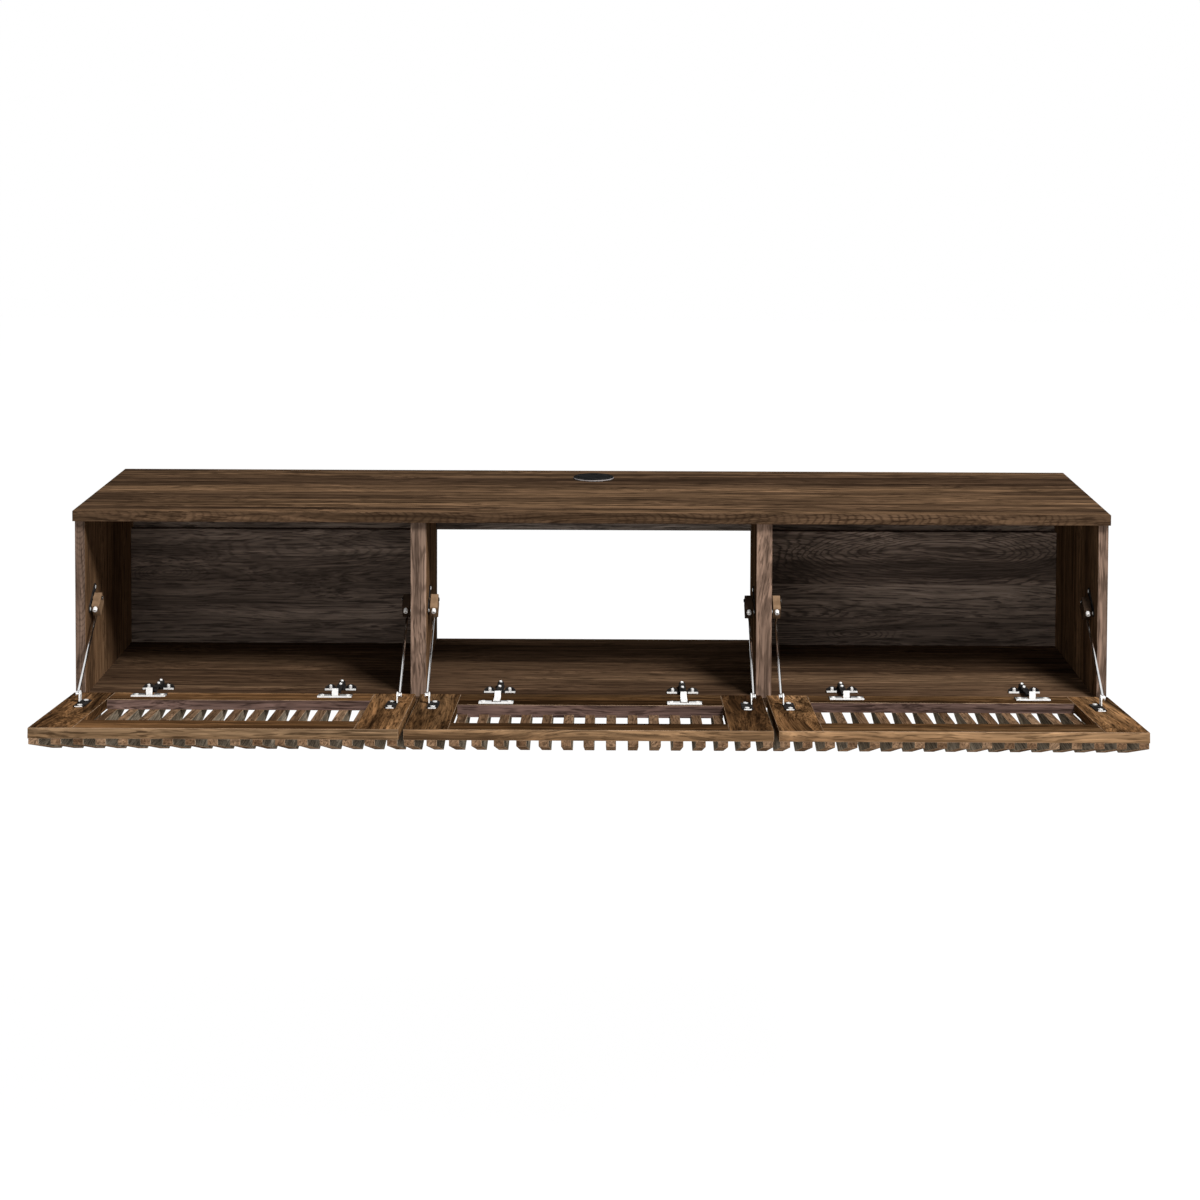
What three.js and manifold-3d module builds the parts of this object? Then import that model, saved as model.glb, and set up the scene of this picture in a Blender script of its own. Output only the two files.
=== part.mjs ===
// Wall-hung media console with three drop-down slatted doors, in millimetres, +Z up.
// X runs left to right, -Y is the front. The origin is the middle of the back face of the
// centre hanging rail, where the console is fastened to the wall.
import * as THREE from "three";
import { mergeVertices } from "three/addons/utils/BufferGeometryUtils.js";
import Module from "manifold-3d";

const wasm = await Module();
wasm.setup();

// Carcass boards
const topLength = 1650;
const topThickness = 17;
const topFrontOverhang = 11;
const topSideOverhang = 1.5;
const carcassWidth = topLength - 2 * topSideOverhang;
const carcassHeight = 298;
const carcassDepth = 384;
const boardThickness = 16;
const dividerThickness = 25;
const dividerThinThickness = 12.5;
const dividerThickRun = 90;
const backPanelThickness = 16;
const backPanelFromRear = 21;
const backPanelLap = 3;
const railHeight = 85;
const railThickness = 18;

// Cable grommet
const grommetRimDiameter = 70;
const grommetRimHeight = 3.2;
const grommetSleeveDiameter = 60;
const grommetBore = 54;
const grommetRearDistance = 77;
const grommetSleeveDepth = 14;
const capDiameter = 53;
const capThickness = 2.5;
const capSlotWidth = 14;
const capSlotDepth = 12;
const capLedge = 3;

// Doors, measured closed
const doorCount = 3;
const doorGap = 7.5;
const doorWidth = (carcassWidth - doorGap * (doorCount - 1)) / doorCount;
const doorHeight = 293.5;
const doorThickness = 15.5;
const doorFoot = 1;
const doorStandoff = 2;
const stileWidth = 65;
const slatWidth = 15;
const slatPitch = 32.9;
const slatEndThickness = 8.5;
const slatPeakThickness = 43;
const slatRoot = 0.5;
const openAngle = THREE.MathUtils.degToRad(84.9);

// The line that a door turns on, from the front edge and the bottom of the carcass
const hingeAxisForward = 18;
const hingeAxisHeight = 7.6;

// Concealed hinges
const hingeFromDoorSide = 125;
const plateSpan = 50;
const plateCentreGap = 17;
const plateRun = 9;
const plateThickness = 3.3;
const plateNotchRun = 3;
const plateScrewSpacing = 32;
const plateScrewDiameter = 8;
const plateScrewHeight = 3.5;
const plateSpineWidth = 12;
const armWidth = 10.8;
const armTop = 12;
const armNoseThickness = 2.5;
const armBodyFront = 3;
const armBodyRun = 58;
const armBodyWidth = 10;
const armScrewDiameter = 7;
const armScrewHeight = 2.5;
const armScrewSetbacks = [26, 44];
const cupDiameter = 35;
const cupDepth = 11.5;
const cupRimHeight = 1;
const cupFromFlangeMiddle = 3;
const cupPocketWidth = 14;
const cupPocketRun = 17;
const cupPocketInset = 1.25;
const cupPocketDepth = 10;
const flangeWidth = 54;
const flangeRun = 22;
const flangeThickness = 2.7;
const flangeScrewSpacing = 41;
const flangeScrewDiameter = 7;
const flangeScrewHeight = 1;
const tongueThickness = 1.2;
const tongueStart = 4;

// Friction stays
const rodDiameter = 4;
const rodFromPanel = 9;
const rodTail = 22;
const eyeDiameter = 9.5;
const pinDiameter = 4;
const pinHeadDiameter = 7;
const pinHeadThickness = 1;
const bracketPivotHeight = 12.8;
const bracketPivotRun = 82.5;
const bracketSheet = 1.5;
const bracketFlangeWidth = 14;
const bracketFlangeTop = 18;
const bracketFlangeFromPanel = 11.6;
const bracketBaseWidth = 17;
const bracketBaseStart = 71;
const bracketBaseRun = 58;
const bracketScrewRuns = [79, 121];
const bracketScrewDiameter = 7.5;
const bracketScrewHeight = 2;
const swivelSetback = 46;
const swivelHeight = 162.5;
const swivelFromRod = 14;
const swivelDiameter = 6;
const mountLength = 58;
const mountWidth = 12;
const mountThickness = 1.5;
const mountScrewSpacing = 46;
const mountScrewDiameter = 6;
const mountScrewHeight = 1;
const swivelStub = 3.4;
const guideFromPanel = 4;
const guideWidth = 12;
const guideFront = 22;
const guideBack = 7;
const guideBelowRod = 5;
const guideAboveRod = 20;
const swivelCapDiameter = 7;
const swivelCapThickness = 2.5;
const brakeKnobDiameter = 7.3;
const brakeKnobLength = 7;
const brakeKnobFromRod = 16;

// Clearances and steps of round shapes
const fitGap = 0.3;
const slideGap = 0.5;
const overrun = 5;
const mergeTolerance = 0.0003;
const fineSteps = 32;
const roundSteps = 16;
const smallSteps = 12;

// The doors differ in the widths of their cross rails and in where their hinges sit.
const sideDoor = { hingeRail: 61, frontRail: 63, railDrop: 0, flangeStart: 16, plateSetback: 33, armReach: 8 };
const centreDoor = { hingeRail: 92, frontRail: 53, railDrop: 4, flangeStart: 64, plateSetback: 22, armReach: -0.5 };
const doorPitch = doorWidth + doorGap;
const doors = [
  { name: "left", middle: -doorPitch, ...sideDoor },
  { name: "centre", middle: 0, ...centreDoor },
  { name: "right", middle: doorPitch, ...sideDoor },
];

// Places worked out from the sizes above
const sideOuter = carcassWidth / 2;
const sideInner = sideOuter - boardThickness;
const dividerMiddle = doorPitch / 2;
const dividerOuter = dividerMiddle + dividerThickness / 2;
const dividerInner = dividerMiddle - dividerThickness / 2;
const dividerThinInner = dividerOuter - dividerThinThickness;
const railBottom = carcassHeight - railHeight;
const railFront = carcassDepth - railThickness;
const doorInnerFace = -doorStandoff;
const doorOuterFace = doorInnerFace - doorThickness;
const doorTop = doorFoot + doorHeight;
const openingHalfWidth = doorWidth / 2 - stileWidth;
const slatCount = Math.floor((doorWidth - slatWidth) / slatPitch) + 1;
const slatMargin = (doorWidth - slatWidth - slatPitch * (slatCount - 1)) / 2;
const slatsOnStile = Math.floor((stileWidth - slatMargin - slatWidth) / slatPitch) + 1;
const compartments = {
  left: [-sideInner, -dividerOuter],
  centre: [-dividerInner, dividerInner],
  right: [dividerOuter, sideInner],
};

const walnut = new THREE.MeshStandardMaterial({ color: 0x5e4431, roughness: 0.55, metalness: 0 });
const darkWalnut = new THREE.MeshStandardMaterial({ color: 0x4a3527, roughness: 0.6, metalness: 0 });
const slatWalnut = new THREE.MeshStandardMaterial({ color: 0x6b4d36, roughness: 0.6, metalness: 0 });
const chrome = new THREE.MeshStandardMaterial({ color: 0xd4d6d8, roughness: 0.2, metalness: 1 });
const blackPlastic = new THREE.MeshStandardMaterial({ color: 0x1b1a19, roughness: 0.5, metalness: 0 });
const tanPlastic = new THREE.MeshStandardMaterial({ color: 0x9a7650, roughness: 0.5, metalness: 0 });

const console3 = new THREE.Group();
const cabinet = new THREE.Group();
cabinet.position.set(0, -carcassDepth, -(railBottom + carcassHeight) / 2);
console3.add(cabinet);

function addMesh(parent, name, geometry, material) {
  const mesh = new THREE.Mesh(geometry, material);
  mesh.name = name;
  parent.add(mesh);
  return mesh;
}

// A box between two values on each axis
function block([x0, x1], [y0, y1], [z0, z1]) {
  const geometry = new THREE.BoxGeometry(x1 - x0, y1 - y0, z1 - z0);
  return geometry.translate((x0 + x1) / 2, (y0 + y1) / 2, (z0 + z1) / 2);
}

// A round bar along one axis, between two values on it; centre holds the other two coordinates.
function bar(axis, diameter, [from, to], centre, steps = smallSteps) {
  const geometry = new THREE.CylinderGeometry(diameter / 2, diameter / 2, to - from, steps);
  const middle = (from + to) / 2;
  if (axis === "x") return geometry.rotateZ(-Math.PI / 2).translate(middle, centre[0], centre[1]);
  if (axis === "y") return geometry.translate(centre[0], middle, centre[1]);
  return geometry.rotateX(Math.PI / 2).translate(centre[0], centre[1], middle);
}

// An outline of [y, z] points drawn out along X
function prismAlongX(points, [x0, x1]) {
  const shape = new THREE.Shape(points.map(([y, z]) => new THREE.Vector2(y, z)));
  const geometry = new THREE.ExtrudeGeometry(shape, { depth: x1 - x0, bevelEnabled: false });
  const toYZ = new THREE.Matrix4().makeBasis(
    new THREE.Vector3(0, 1, 0),
    new THREE.Vector3(0, 0, 1),
    new THREE.Vector3(1, 0, 0),
  );
  return geometry.applyMatrix4(toYZ).translate(x0, 0, 0);
}

// An outline of [x, y] points drawn out along Z
function prismAlongZ(points, [z0, z1]) {
  const shape = new THREE.Shape(points.map(([x, y]) => new THREE.Vector2(x, y)));
  const geometry = new THREE.ExtrudeGeometry(shape, { depth: z1 - z0, bevelEnabled: false });
  return geometry.translate(0, 0, z0);
}

function solidOf(geometry) {
  const bare = geometry.clone();
  bare.deleteAttribute("normal");
  bare.deleteAttribute("uv");
  const merged = mergeVertices(bare, mergeTolerance);
  return new wasm.Manifold(
    new wasm.Mesh({
      numProp: 3,
      vertProperties: merged.attributes.position.array,
      triVerts: new Uint32Array(merged.index.array),
    }),
  );
}

function geometryOf(solid) {
  const mesh = solid.getMesh();
  const geometry = new THREE.BufferGeometry();
  geometry.setAttribute("position", new THREE.BufferAttribute(new Float32Array(mesh.vertProperties), 3));
  geometry.setIndex(new THREE.BufferAttribute(new Uint32Array(mesh.triVerts), 1));
  const faceted = geometry.toNonIndexed();
  faceted.computeVertexNormals();
  return faceted;
}

// One solid from the pieces in the first list, less those in the second
function shaped(pieces, cuts = []) {
  let solid = solidOf(pieces[0]);
  for (const piece of pieces.slice(1)) solid = solid.add(solidOf(piece));
  for (const cut of cuts) solid = solid.subtract(solidOf(cut));
  return geometryOf(solid);
}

function addTop() {
  const grommetMiddle = [0, carcassDepth - grommetRearDistance];
  const topFace = carcassHeight + topThickness;
  const board = block(
    [-topLength / 2, topLength / 2],
    [-topFrontOverhang, carcassDepth],
    [carcassHeight, topFace],
  );
  const holeDiameter = grommetSleeveDiameter + 2 * fitGap;
  const hole = bar("z", holeDiameter, [carcassHeight - overrun, topFace + overrun], grommetMiddle, fineSteps);
  addMesh(cabinet, "top_panel", shaped([board], [hole]), walnut);

  const rimTop = topFace + fitGap + grommetRimHeight;
  const ledgeTop = rimTop - capThickness - fitGap;
  const rim = bar("z", grommetRimDiameter, [topFace + fitGap, rimTop], grommetMiddle, fineSteps);
  const sleeve = bar("z", grommetSleeveDiameter, [topFace - grommetSleeveDepth, rimTop], grommetMiddle, fineSteps);
  const seat = bar("z", grommetBore, [ledgeTop, rimTop + overrun], grommetMiddle, fineSteps);
  const throat = [topFace - grommetSleeveDepth - overrun, rimTop + overrun];
  const bore = bar("z", grommetBore - 2 * capLedge, throat, grommetMiddle, fineSteps);
  addMesh(cabinet, "cable_grommet", shaped([rim, sleeve], [seat, bore]), blackPlastic);

  const capFoot = ledgeTop + fitGap;
  const disc = bar("z", capDiameter, [capFoot, capFoot + capThickness], grommetMiddle, fineSteps);
  const slotStart = grommetMiddle[1] + capDiameter / 2 - capSlotDepth;
  const slot = block(
    [-capSlotWidth / 2, capSlotWidth / 2],
    [slotStart, slotStart + capDiameter],
    [capFoot - overrun, capFoot + capThickness + overrun],
  );
  addMesh(cabinet, "grommet_cap", shaped([disc], [slot]), blackPlastic);
}

function addCarcass() {
  const depth = [0, carcassDepth];
  addMesh(cabinet, "bottom_panel", block([-sideInner, sideInner], depth, [0, boardThickness]), walnut);
  addMesh(cabinet, "left_side_panel", block([-sideOuter, -sideInner], depth, [0, carcassHeight]), walnut);
  addMesh(cabinet, "right_side_panel", block([sideInner, sideOuter], depth, [0, carcassHeight]), walnut);
  for (const [side, sign] of [["left", -1], ["right", 1]]) {
    const plan = [
      [dividerInner, 0],
      [dividerOuter, 0],
      [dividerOuter, carcassDepth],
      [dividerThinInner, carcassDepth],
      [dividerThinInner, dividerThickRun],
      [dividerInner, dividerThickRun],
    ].map(([x, y]) => [sign * x, y]);
    const outline = sign > 0 ? plan : plan.reverse();
    addMesh(cabinet, side + "_divider", prismAlongZ(outline, [boardThickness, carcassHeight]), walnut);
    const bay = compartments[side];
    const backFace = carcassDepth - backPanelFromRear;
    const backDepth = [backFace - backPanelThickness, backFace];
    const backHeight = [boardThickness, railBottom + backPanelLap];
    addMesh(cabinet, side + "_back_panel", block(bay, backDepth, backHeight), darkWalnut);
  }
  const railBays = { ...compartments, centre: [-dividerThinInner, dividerThinInner] };
  for (const [bay, span] of Object.entries(railBays)) {
    const rail = block(span, [railFront, carcassDepth], [railBottom, carcassHeight]);
    addMesh(cabinet, bay + "_hanging_rail", rail, darkWalnut);
  }
}

// Heights along a door are measured up from its hinge edge, as it stands when closed.
function alongDoor(start, end) {
  return [doorFoot + start, doorFoot + end];
}

// Depths on a door's inner face, from low to high above that face
function aboveInnerFace(low, high) {
  return [doorInnerFace + low, doorInnerFace + high];
}

function slat(index) {
  const left = -doorWidth / 2 + slatMargin + index * slatPitch;
  const outline = [
    [doorOuterFace + slatRoot, doorFoot],
    [doorOuterFace + slatRoot, doorTop],
    [doorOuterFace - slatEndThickness, doorTop],
    [doorOuterFace - slatPeakThickness, (doorFoot + doorTop) / 2],
    [doorOuterFace - slatEndThickness, doorFoot],
  ];
  return prismAlongX(outline, [left, left + slatWidth]);
}

function cupRecess(x, middleRun) {
  const depth = [doorInnerFace - cupDepth - fitGap, doorInnerFace + overrun];
  return bar("y", cupDiameter + 2 * fitGap, depth, [x, doorFoot + middleRun], fineSteps);
}

function hingeOffsets() {
  const offset = doorWidth / 2 - hingeFromDoorSide;
  return [["left", -offset], ["right", offset]];
}

function addDoorFrame(frame, door) {
  const depth = [doorOuterFace, doorInnerFace];
  for (const [side, sign] of [["left", -1], ["right", 1]]) {
    const span = [sign * doorWidth / 2, sign * openingHalfWidth].sort((a, b) => a - b);
    const first = sign < 0 ? 0 : slatCount - slatsOnStile;
    const pieces = [block(span, depth, [doorFoot, doorTop])];
    for (let i = first; i < first + slatsOnStile; i++) pieces.push(slat(i));
    addMesh(frame, door.name + "_door_" + side + "_stile", shaped(pieces), slatWalnut);
  }
  const inside = [-openingHalfWidth + fitGap, openingHalfWidth - fitGap];
  const hingeRail = block(inside, [doorOuterFace - door.railDrop, doorInnerFace], alongDoor(0, door.hingeRail));
  const frontRail = block(inside, depth, alongDoor(doorHeight - door.frontRail, doorHeight));
  const pieces = [hingeRail, frontRail];
  for (let i = slatsOnStile; i < slatCount - slatsOnStile; i++) pieces.push(slat(i));
  const cupMiddle = door.flangeStart + flangeRun / 2 - cupFromFlangeMiddle;
  const cuts = hingeOffsets().map(([, x]) => cupRecess(x, cupMiddle));
  for (const sign of [-1, 1]) {
    const stileSpan = [sign * doorWidth, sign * (openingHalfWidth - fitGap)].sort((a, b) => a - b);
    cuts.push(block(stileSpan, [doorOuterFace - fitGap, doorInnerFace + overrun], [0, doorTop + overrun]));
  }
  addMesh(frame, door.name + "_door_grille", shaped(pieces, cuts), slatWalnut);
}

function addHingeCups(frame, door) {
  const flangeEnd = door.flangeStart + flangeRun;
  const flangeMiddle = door.flangeStart + flangeRun / 2;
  const cupMiddle = flangeMiddle - cupFromFlangeMiddle;
  for (const [side, x] of hingeOffsets()) {
    const flange = block(
      [x - flangeWidth / 2, x + flangeWidth / 2],
      aboveInnerFace(fitGap, flangeThickness),
      alongDoor(door.flangeStart, flangeEnd),
    );
    const bowl = bar("y", cupDiameter, aboveInnerFace(-cupDepth, cupRimHeight), [x, doorFoot + cupMiddle], fineSteps);
    const tongue = block(
      [x - armWidth / 2, x + armWidth / 2],
      aboveInnerFace(fitGap, fitGap + tongueThickness),
      alongDoor(tongueStart, door.flangeStart + overrun),
    );
    const pieces = [flange, bowl, tongue];
    for (const sign of [-1, 1]) {
      const centre = [x + (sign * flangeScrewSpacing) / 2, doorFoot + flangeMiddle];
      const head = aboveInnerFace(flangeThickness / 2, flangeThickness + flangeScrewHeight);
      pieces.push(bar("y", flangeScrewDiameter, head, centre));
    }
    const pocketStart = door.flangeStart + cupPocketInset;
    const pocket = block(
      [x - cupPocketWidth / 2, x + cupPocketWidth / 2],
      aboveInnerFace(-cupPocketDepth, flangeThickness + overrun),
      alongDoor(pocketStart, pocketStart + cupPocketRun),
    );
    const noseRelief = block(
      [x - cupPocketWidth / 2, x + cupPocketWidth / 2],
      aboveInnerFace(fitGap + tongueThickness, flangeThickness + overrun),
      alongDoor(0, pocketStart + overrun),
    );
    addMesh(frame, door.name + "_door_" + side + "_hinge_cup", shaped(pieces, [pocket, noseRelief]), chrome);
  }
}

function addHingeArms(door) {
  const floor = boardThickness;
  for (const [side, offset] of hingeOffsets()) {
    const x = door.middle + offset;
    const wing = block(
      [x - plateSpan / 2, x + plateSpan / 2],
      [door.plateSetback, door.plateSetback + plateRun],
      [floor, floor + plateThickness],
    );
    const notch = block(
      [x - plateCentreGap / 2, x + plateCentreGap / 2],
      [door.plateSetback - overrun, door.plateSetback + plateNotchRun],
      [floor - overrun, floor + plateThickness + overrun],
    );
    const armBack = armBodyFront + armBodyRun;
    const spine = block(
      [x - plateSpineWidth / 2, x + plateSpineWidth / 2],
      [door.plateSetback + plateNotchRun, armBack],
      [floor, floor + plateThickness],
    );
    const arm = block(
      [x - armBodyWidth / 2, x + armBodyWidth / 2],
      [armBodyFront, armBack],
      [floor + plateThickness, floor + armTop],
    );
    const nose = block(
      [x - armWidth / 2, x + armWidth / 2],
      [-door.armReach, door.plateSetback],
      [floor + armTop - armNoseThickness, floor + armTop],
    );
    const plate = shaped([wing], [notch]);
    const pieces = [plate, spine, arm, nose];
    for (const sign of [-1, 1]) {
      const centre = [x + (sign * plateScrewSpacing) / 2, door.plateSetback + plateRun / 2];
      const head = [floor + plateThickness / 2, floor + plateThickness + plateScrewHeight];
      pieces.push(bar("z", plateScrewDiameter, head, centre));
    }
    for (const setback of armScrewSetbacks) {
      const head = [floor + armTop - armNoseThickness, floor + armTop + armScrewHeight];
      pieces.push(bar("z", armScrewDiameter, head, [x, armBodyFront + setback]));
    }
    addMesh(cabinet, door.name + "_" + side + "_hinge_arm", shaped(pieces), chrome);
  }
}

// Where a stay sits: at a panel face, reaching inwards on the given side of the door
function stayPlaces(door) {
  const [low, high] = compartments[door.name];
  return [["left", low, 1], ["right", high, -1]];
}

// A span measured off a panel face, inwards
function offFace(face, inward, near, far) {
  return [face + inward * near, face + inward * far].sort((a, b) => a - b);
}

// The stay's pivot on the door and the rod's slope, with the door open
const pivotFromAxis = new THREE.Vector2(
  doorInnerFace + bracketPivotHeight + hingeAxisForward,
  doorFoot + bracketPivotRun - hingeAxisHeight,
);
const openPivot = pivotFromAxis.clone().rotateAround(new THREE.Vector2(), openAngle);
openPivot.add(new THREE.Vector2(-hingeAxisForward, hingeAxisHeight));
const pivotToSwivel = new THREE.Vector2(swivelSetback, swivelHeight).sub(openPivot);
const rodSlope = pivotToSwivel.angle() - Math.asin(swivelFromRod / pivotToSwivel.length());
const guideRun = Math.sqrt(pivotToSwivel.lengthSq() - swivelFromRod ** 2);
const rodLength = guideRun + rodTail;

function addStayBrackets(frame, door) {
  for (const [side, face, inward] of stayPlaces(door)) {
    const wall = face - door.middle;
    const flangeSpan = offFace(wall, inward, bracketFlangeFromPanel, bracketFlangeFromPanel + bracketSheet);
    const pivot = [doorInnerFace + bracketPivotHeight, doorFoot + bracketPivotRun];
    const upright = block(
      flangeSpan,
      aboveInnerFace(fitGap, bracketFlangeTop),
      alongDoor(bracketPivotRun - bracketFlangeWidth / 2, bracketPivotRun + bracketFlangeWidth / 2),
    );
    const baseEnd = bracketFlangeFromPanel + bracketBaseWidth;
    const base = block(
      offFace(wall, inward, bracketFlangeFromPanel, baseEnd),
      aboveInnerFace(fitGap, fitGap + bracketSheet),
      alongDoor(bracketBaseStart, bracketBaseStart + bracketBaseRun),
    );
    const headStart = rodFromPanel - rodDiameter / 2 - fitGap - pinHeadThickness;
    const pinSpan = offFace(wall, inward, headStart, bracketFlangeFromPanel + bracketSheet / 2);
    const headSpan = offFace(wall, inward, headStart, headStart + pinHeadThickness);
    const pieces = [upright, base, bar("x", pinDiameter, pinSpan, pivot), bar("x", pinHeadDiameter, headSpan, pivot)];
    const screwLine = wall + (inward * (bracketFlangeFromPanel + bracketSheet + baseEnd)) / 2;
    for (const run of bracketScrewRuns) {
      const head = aboveInnerFace(fitGap + bracketSheet / 2, fitGap + bracketSheet + bracketScrewHeight);
      pieces.push(bar("y", bracketScrewDiameter, head, [screwLine, doorFoot + run]));
    }
    addMesh(frame, door.name + "_door_" + side + "_stay_bracket", shaped(pieces), chrome);
  }
}

// The rod's own frame: its pivot at the origin, its length along +Y, the swivel on its +Z side
function stayFrame(x) {
  const frame = new THREE.Group();
  frame.position.set(x, openPivot.x, openPivot.y);
  frame.rotation.x = rodSlope;
  cabinet.add(frame);
  return frame;
}

function addStays(door) {
  for (const [side, face, inward] of stayPlaces(door)) {
    const name = door.name + "_" + side + "_stay_";
    const frame = stayFrame(face);
    const rodSpan = offFace(0, inward, rodFromPanel - rodDiameter / 2, rodFromPanel + rodDiameter / 2);
    const eye = bar("x", eyeDiameter, rodSpan, [0, 0], roundSteps);
    const shank = bar("y", rodDiameter, [eyeDiameter / 2 - fitGap, rodLength], [inward * rodFromPanel, 0]);
    const holeSpan = offFace(0, inward, 0, 2 * rodFromPanel);
    const eyeHole = bar("x", pinDiameter + 2 * fitGap, holeSpan, [0, 0]);
    addMesh(frame, name + "rod", shaped([eye, shank], [eyeHole]), chrome);

    const body = block(
      offFace(0, inward, guideFromPanel, guideFromPanel + guideWidth),
      [guideRun - guideFront, guideRun + guideBack],
      [-guideBelowRod, guideAboveRod],
    );
    const boreSpan = [guideRun - guideFront - overrun, guideRun + guideBack + overrun];
    const bore = bar("y", rodDiameter + 2 * slideGap, boreSpan, [inward * rodFromPanel, 0]);
    const guideEnd = guideFromPanel + guideWidth;
    const capSpan = offFace(0, inward, guideEnd - swivelCapThickness / 2, guideEnd + swivelCapThickness);
    const swivelCap = bar("x", swivelCapDiameter, capSpan, [guideRun, swivelFromRod]);
    const knobSpan = [guideRun - guideFront - brakeKnobLength, guideRun - guideFront + fitGap];
    const knobMiddle = guideFromPanel + guideWidth / 2;
    const knob = bar("y", brakeKnobDiameter, knobSpan, [inward * knobMiddle, brakeKnobFromRod]);
    addMesh(frame, name + "guide", shaped([body, swivelCap, knob], [bore]), tanPlastic);

    const plate = block(
      offFace(0, inward, fitGap, fitGap + mountThickness),
      [guideRun - mountLength / 2, guideRun + mountLength / 2],
      [swivelFromRod - mountWidth / 2, swivelFromRod + mountWidth / 2],
    );
    const pieces = [plate, bar("x", swivelDiameter, offFace(0, inward, fitGap, swivelStub), [guideRun, swivelFromRod])];
    for (const sign of [-1, 1]) {
      const centre = [guideRun + (sign * mountScrewSpacing) / 2, swivelFromRod];
      const head = offFace(0, inward, fitGap, fitGap + mountThickness + mountScrewHeight);
      pieces.push(bar("x", mountScrewDiameter, head, centre));
    }
    addMesh(frame, name + "mount", shaped(pieces), chrome);
  }
}

function addDoor(door) {
  const hingeLine = new THREE.Group();
  hingeLine.position.set(door.middle, -hingeAxisForward, hingeAxisHeight);
  hingeLine.rotation.x = openAngle;
  const frame = new THREE.Group();
  frame.position.set(0, hingeAxisForward, -hingeAxisHeight);
  hingeLine.add(frame);
  cabinet.add(hingeLine);
  addDoorFrame(frame, door);
  addHingeCups(frame, door);
  addStayBrackets(frame, door);
  addHingeArms(door);
  addStays(door);
}

addCarcass();
addTop();
for (const door of doors) addDoor(door);

export default console3;
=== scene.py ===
# %% [markdown]
# A wall-hung media console with three drop-down slatted doors, seen with all its doors open. The solid
# model of it is loaded first, because it says where every board, hinge and stay belongs and which of
# them move together. What is made after that dresses it: boards with softened edges and a wood figure,
# slats, screws, hinges and stays. X runs left to right and -Y is the front. The scene is in metres, and
# the shapes of its pieces are written in millimetres.

# %% Load the solid model
import math

import bmesh
import bpy
from mathutils import Matrix, Vector


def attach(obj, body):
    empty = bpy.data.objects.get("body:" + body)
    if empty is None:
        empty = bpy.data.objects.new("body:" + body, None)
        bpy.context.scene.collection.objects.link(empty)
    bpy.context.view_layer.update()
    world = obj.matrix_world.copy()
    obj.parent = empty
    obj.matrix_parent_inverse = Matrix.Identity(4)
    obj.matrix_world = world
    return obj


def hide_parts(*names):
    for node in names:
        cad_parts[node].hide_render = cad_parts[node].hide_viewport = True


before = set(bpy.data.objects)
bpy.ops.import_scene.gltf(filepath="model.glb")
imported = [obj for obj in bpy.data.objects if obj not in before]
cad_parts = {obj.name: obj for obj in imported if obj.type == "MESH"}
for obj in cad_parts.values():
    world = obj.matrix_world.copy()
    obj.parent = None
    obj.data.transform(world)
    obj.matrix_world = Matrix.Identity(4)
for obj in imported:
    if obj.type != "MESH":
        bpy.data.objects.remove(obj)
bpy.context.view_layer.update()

# %% [markdown]
# Sizes of the console that its pieces share. The places of the boards are known in the cabinet's own
# terms (how far back from the front edges, how high above the underside), so a small helper turns
# millimetres of that kind into the scene's metres.

# %% Shared sizes and places
MM = 0.001
CARCASS_DEPTH = 384
ORIGIN_HEIGHT = 255.5
BOARD = 16
DOOR_PITCH = 551.5
DOOR_MIDDLES = {"left": -DOOR_PITCH, "centre": 0.0, "right": DOOR_PITCH}
SIDE_INNER, DIVIDER_OUTER, DIVIDER_INNER = 807.5, 288.25, 263.25
BAYS = {
    "left": (-SIDE_INNER, -DIVIDER_OUTER),
    "centre": (-DIVIDER_INNER, DIVIDER_INNER),
    "right": (DIVIDER_OUTER, SIDE_INNER),
}
HINGE_FORWARD, HINGE_HEIGHT, OPEN_ANGLE = 18.0, 7.6, math.radians(84.9)


def at(x, y, z):
    """A place given in millimetres from the front edges and the underside of the carcass."""
    return Vector((x, y - CARCASS_DEPTH, z - ORIGIN_HEIGHT)) * MM


# Millimetres in the cabinet to metres in the scene, and millimetres on a closed door to the open door
CABINET = Matrix.Translation(at(0, 0, 0)) @ Matrix.Scale(MM, 4)


def door_matrix(name):
    hinge = Matrix.Translation((DOOR_MIDDLES[name], -HINGE_FORWARD, HINGE_HEIGHT))
    back = Matrix.Translation((0, HINGE_FORWARD, -HINGE_HEIGHT))
    return CABINET @ hinge @ Matrix.Rotation(OPEN_ANGLE, 4, "X") @ back


print("right door's foot is at", [round(v, 4) for v in door_matrix("right") @ Vector((0, -2, 1))])

# %% [markdown]
# The camera stands far off, a little above the console, and looks almost level. A product photographer
# keeps the uprights parallel by sliding the picture frame instead of tipping the camera, and Blender's
# lens shift does the same.

# %% Camera
CAMERA_PLACE = (0.0388, -4.0324, 0.7495)
CAMERA_TURNS = {"Z": 0.093, "X": -2.602, "Y": -0.232}

camera_data = bpy.data.cameras.new("photo_camera")
camera_data.sensor_fit = "HORIZONTAL"
camera_data.sensor_width = 36.0
camera_data.lens = 69.255
camera_data.shift_x = -0.0113
camera_data.shift_y = -0.3476
camera = bpy.data.objects.new("photo_camera", camera_data)
bpy.context.scene.collection.objects.link(camera)
turn = Matrix.Identity(3)
for axis, degrees in CAMERA_TURNS.items():
    turn = turn @ Matrix.Rotation(math.radians(degrees), 3, axis)
right, forward, up = (turn @ Vector(v) for v in ((1, 0, 0), (0, 1, 0), (0, 0, 1)))
camera.matrix_world = Matrix.Translation(CAMERA_PLACE) @ Matrix((right, up, -forward)).transposed().to_4x4()
bpy.context.scene.camera = camera
print("camera", [round(v, 3) for v in camera.location], "lens", camera_data.lens)

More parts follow.
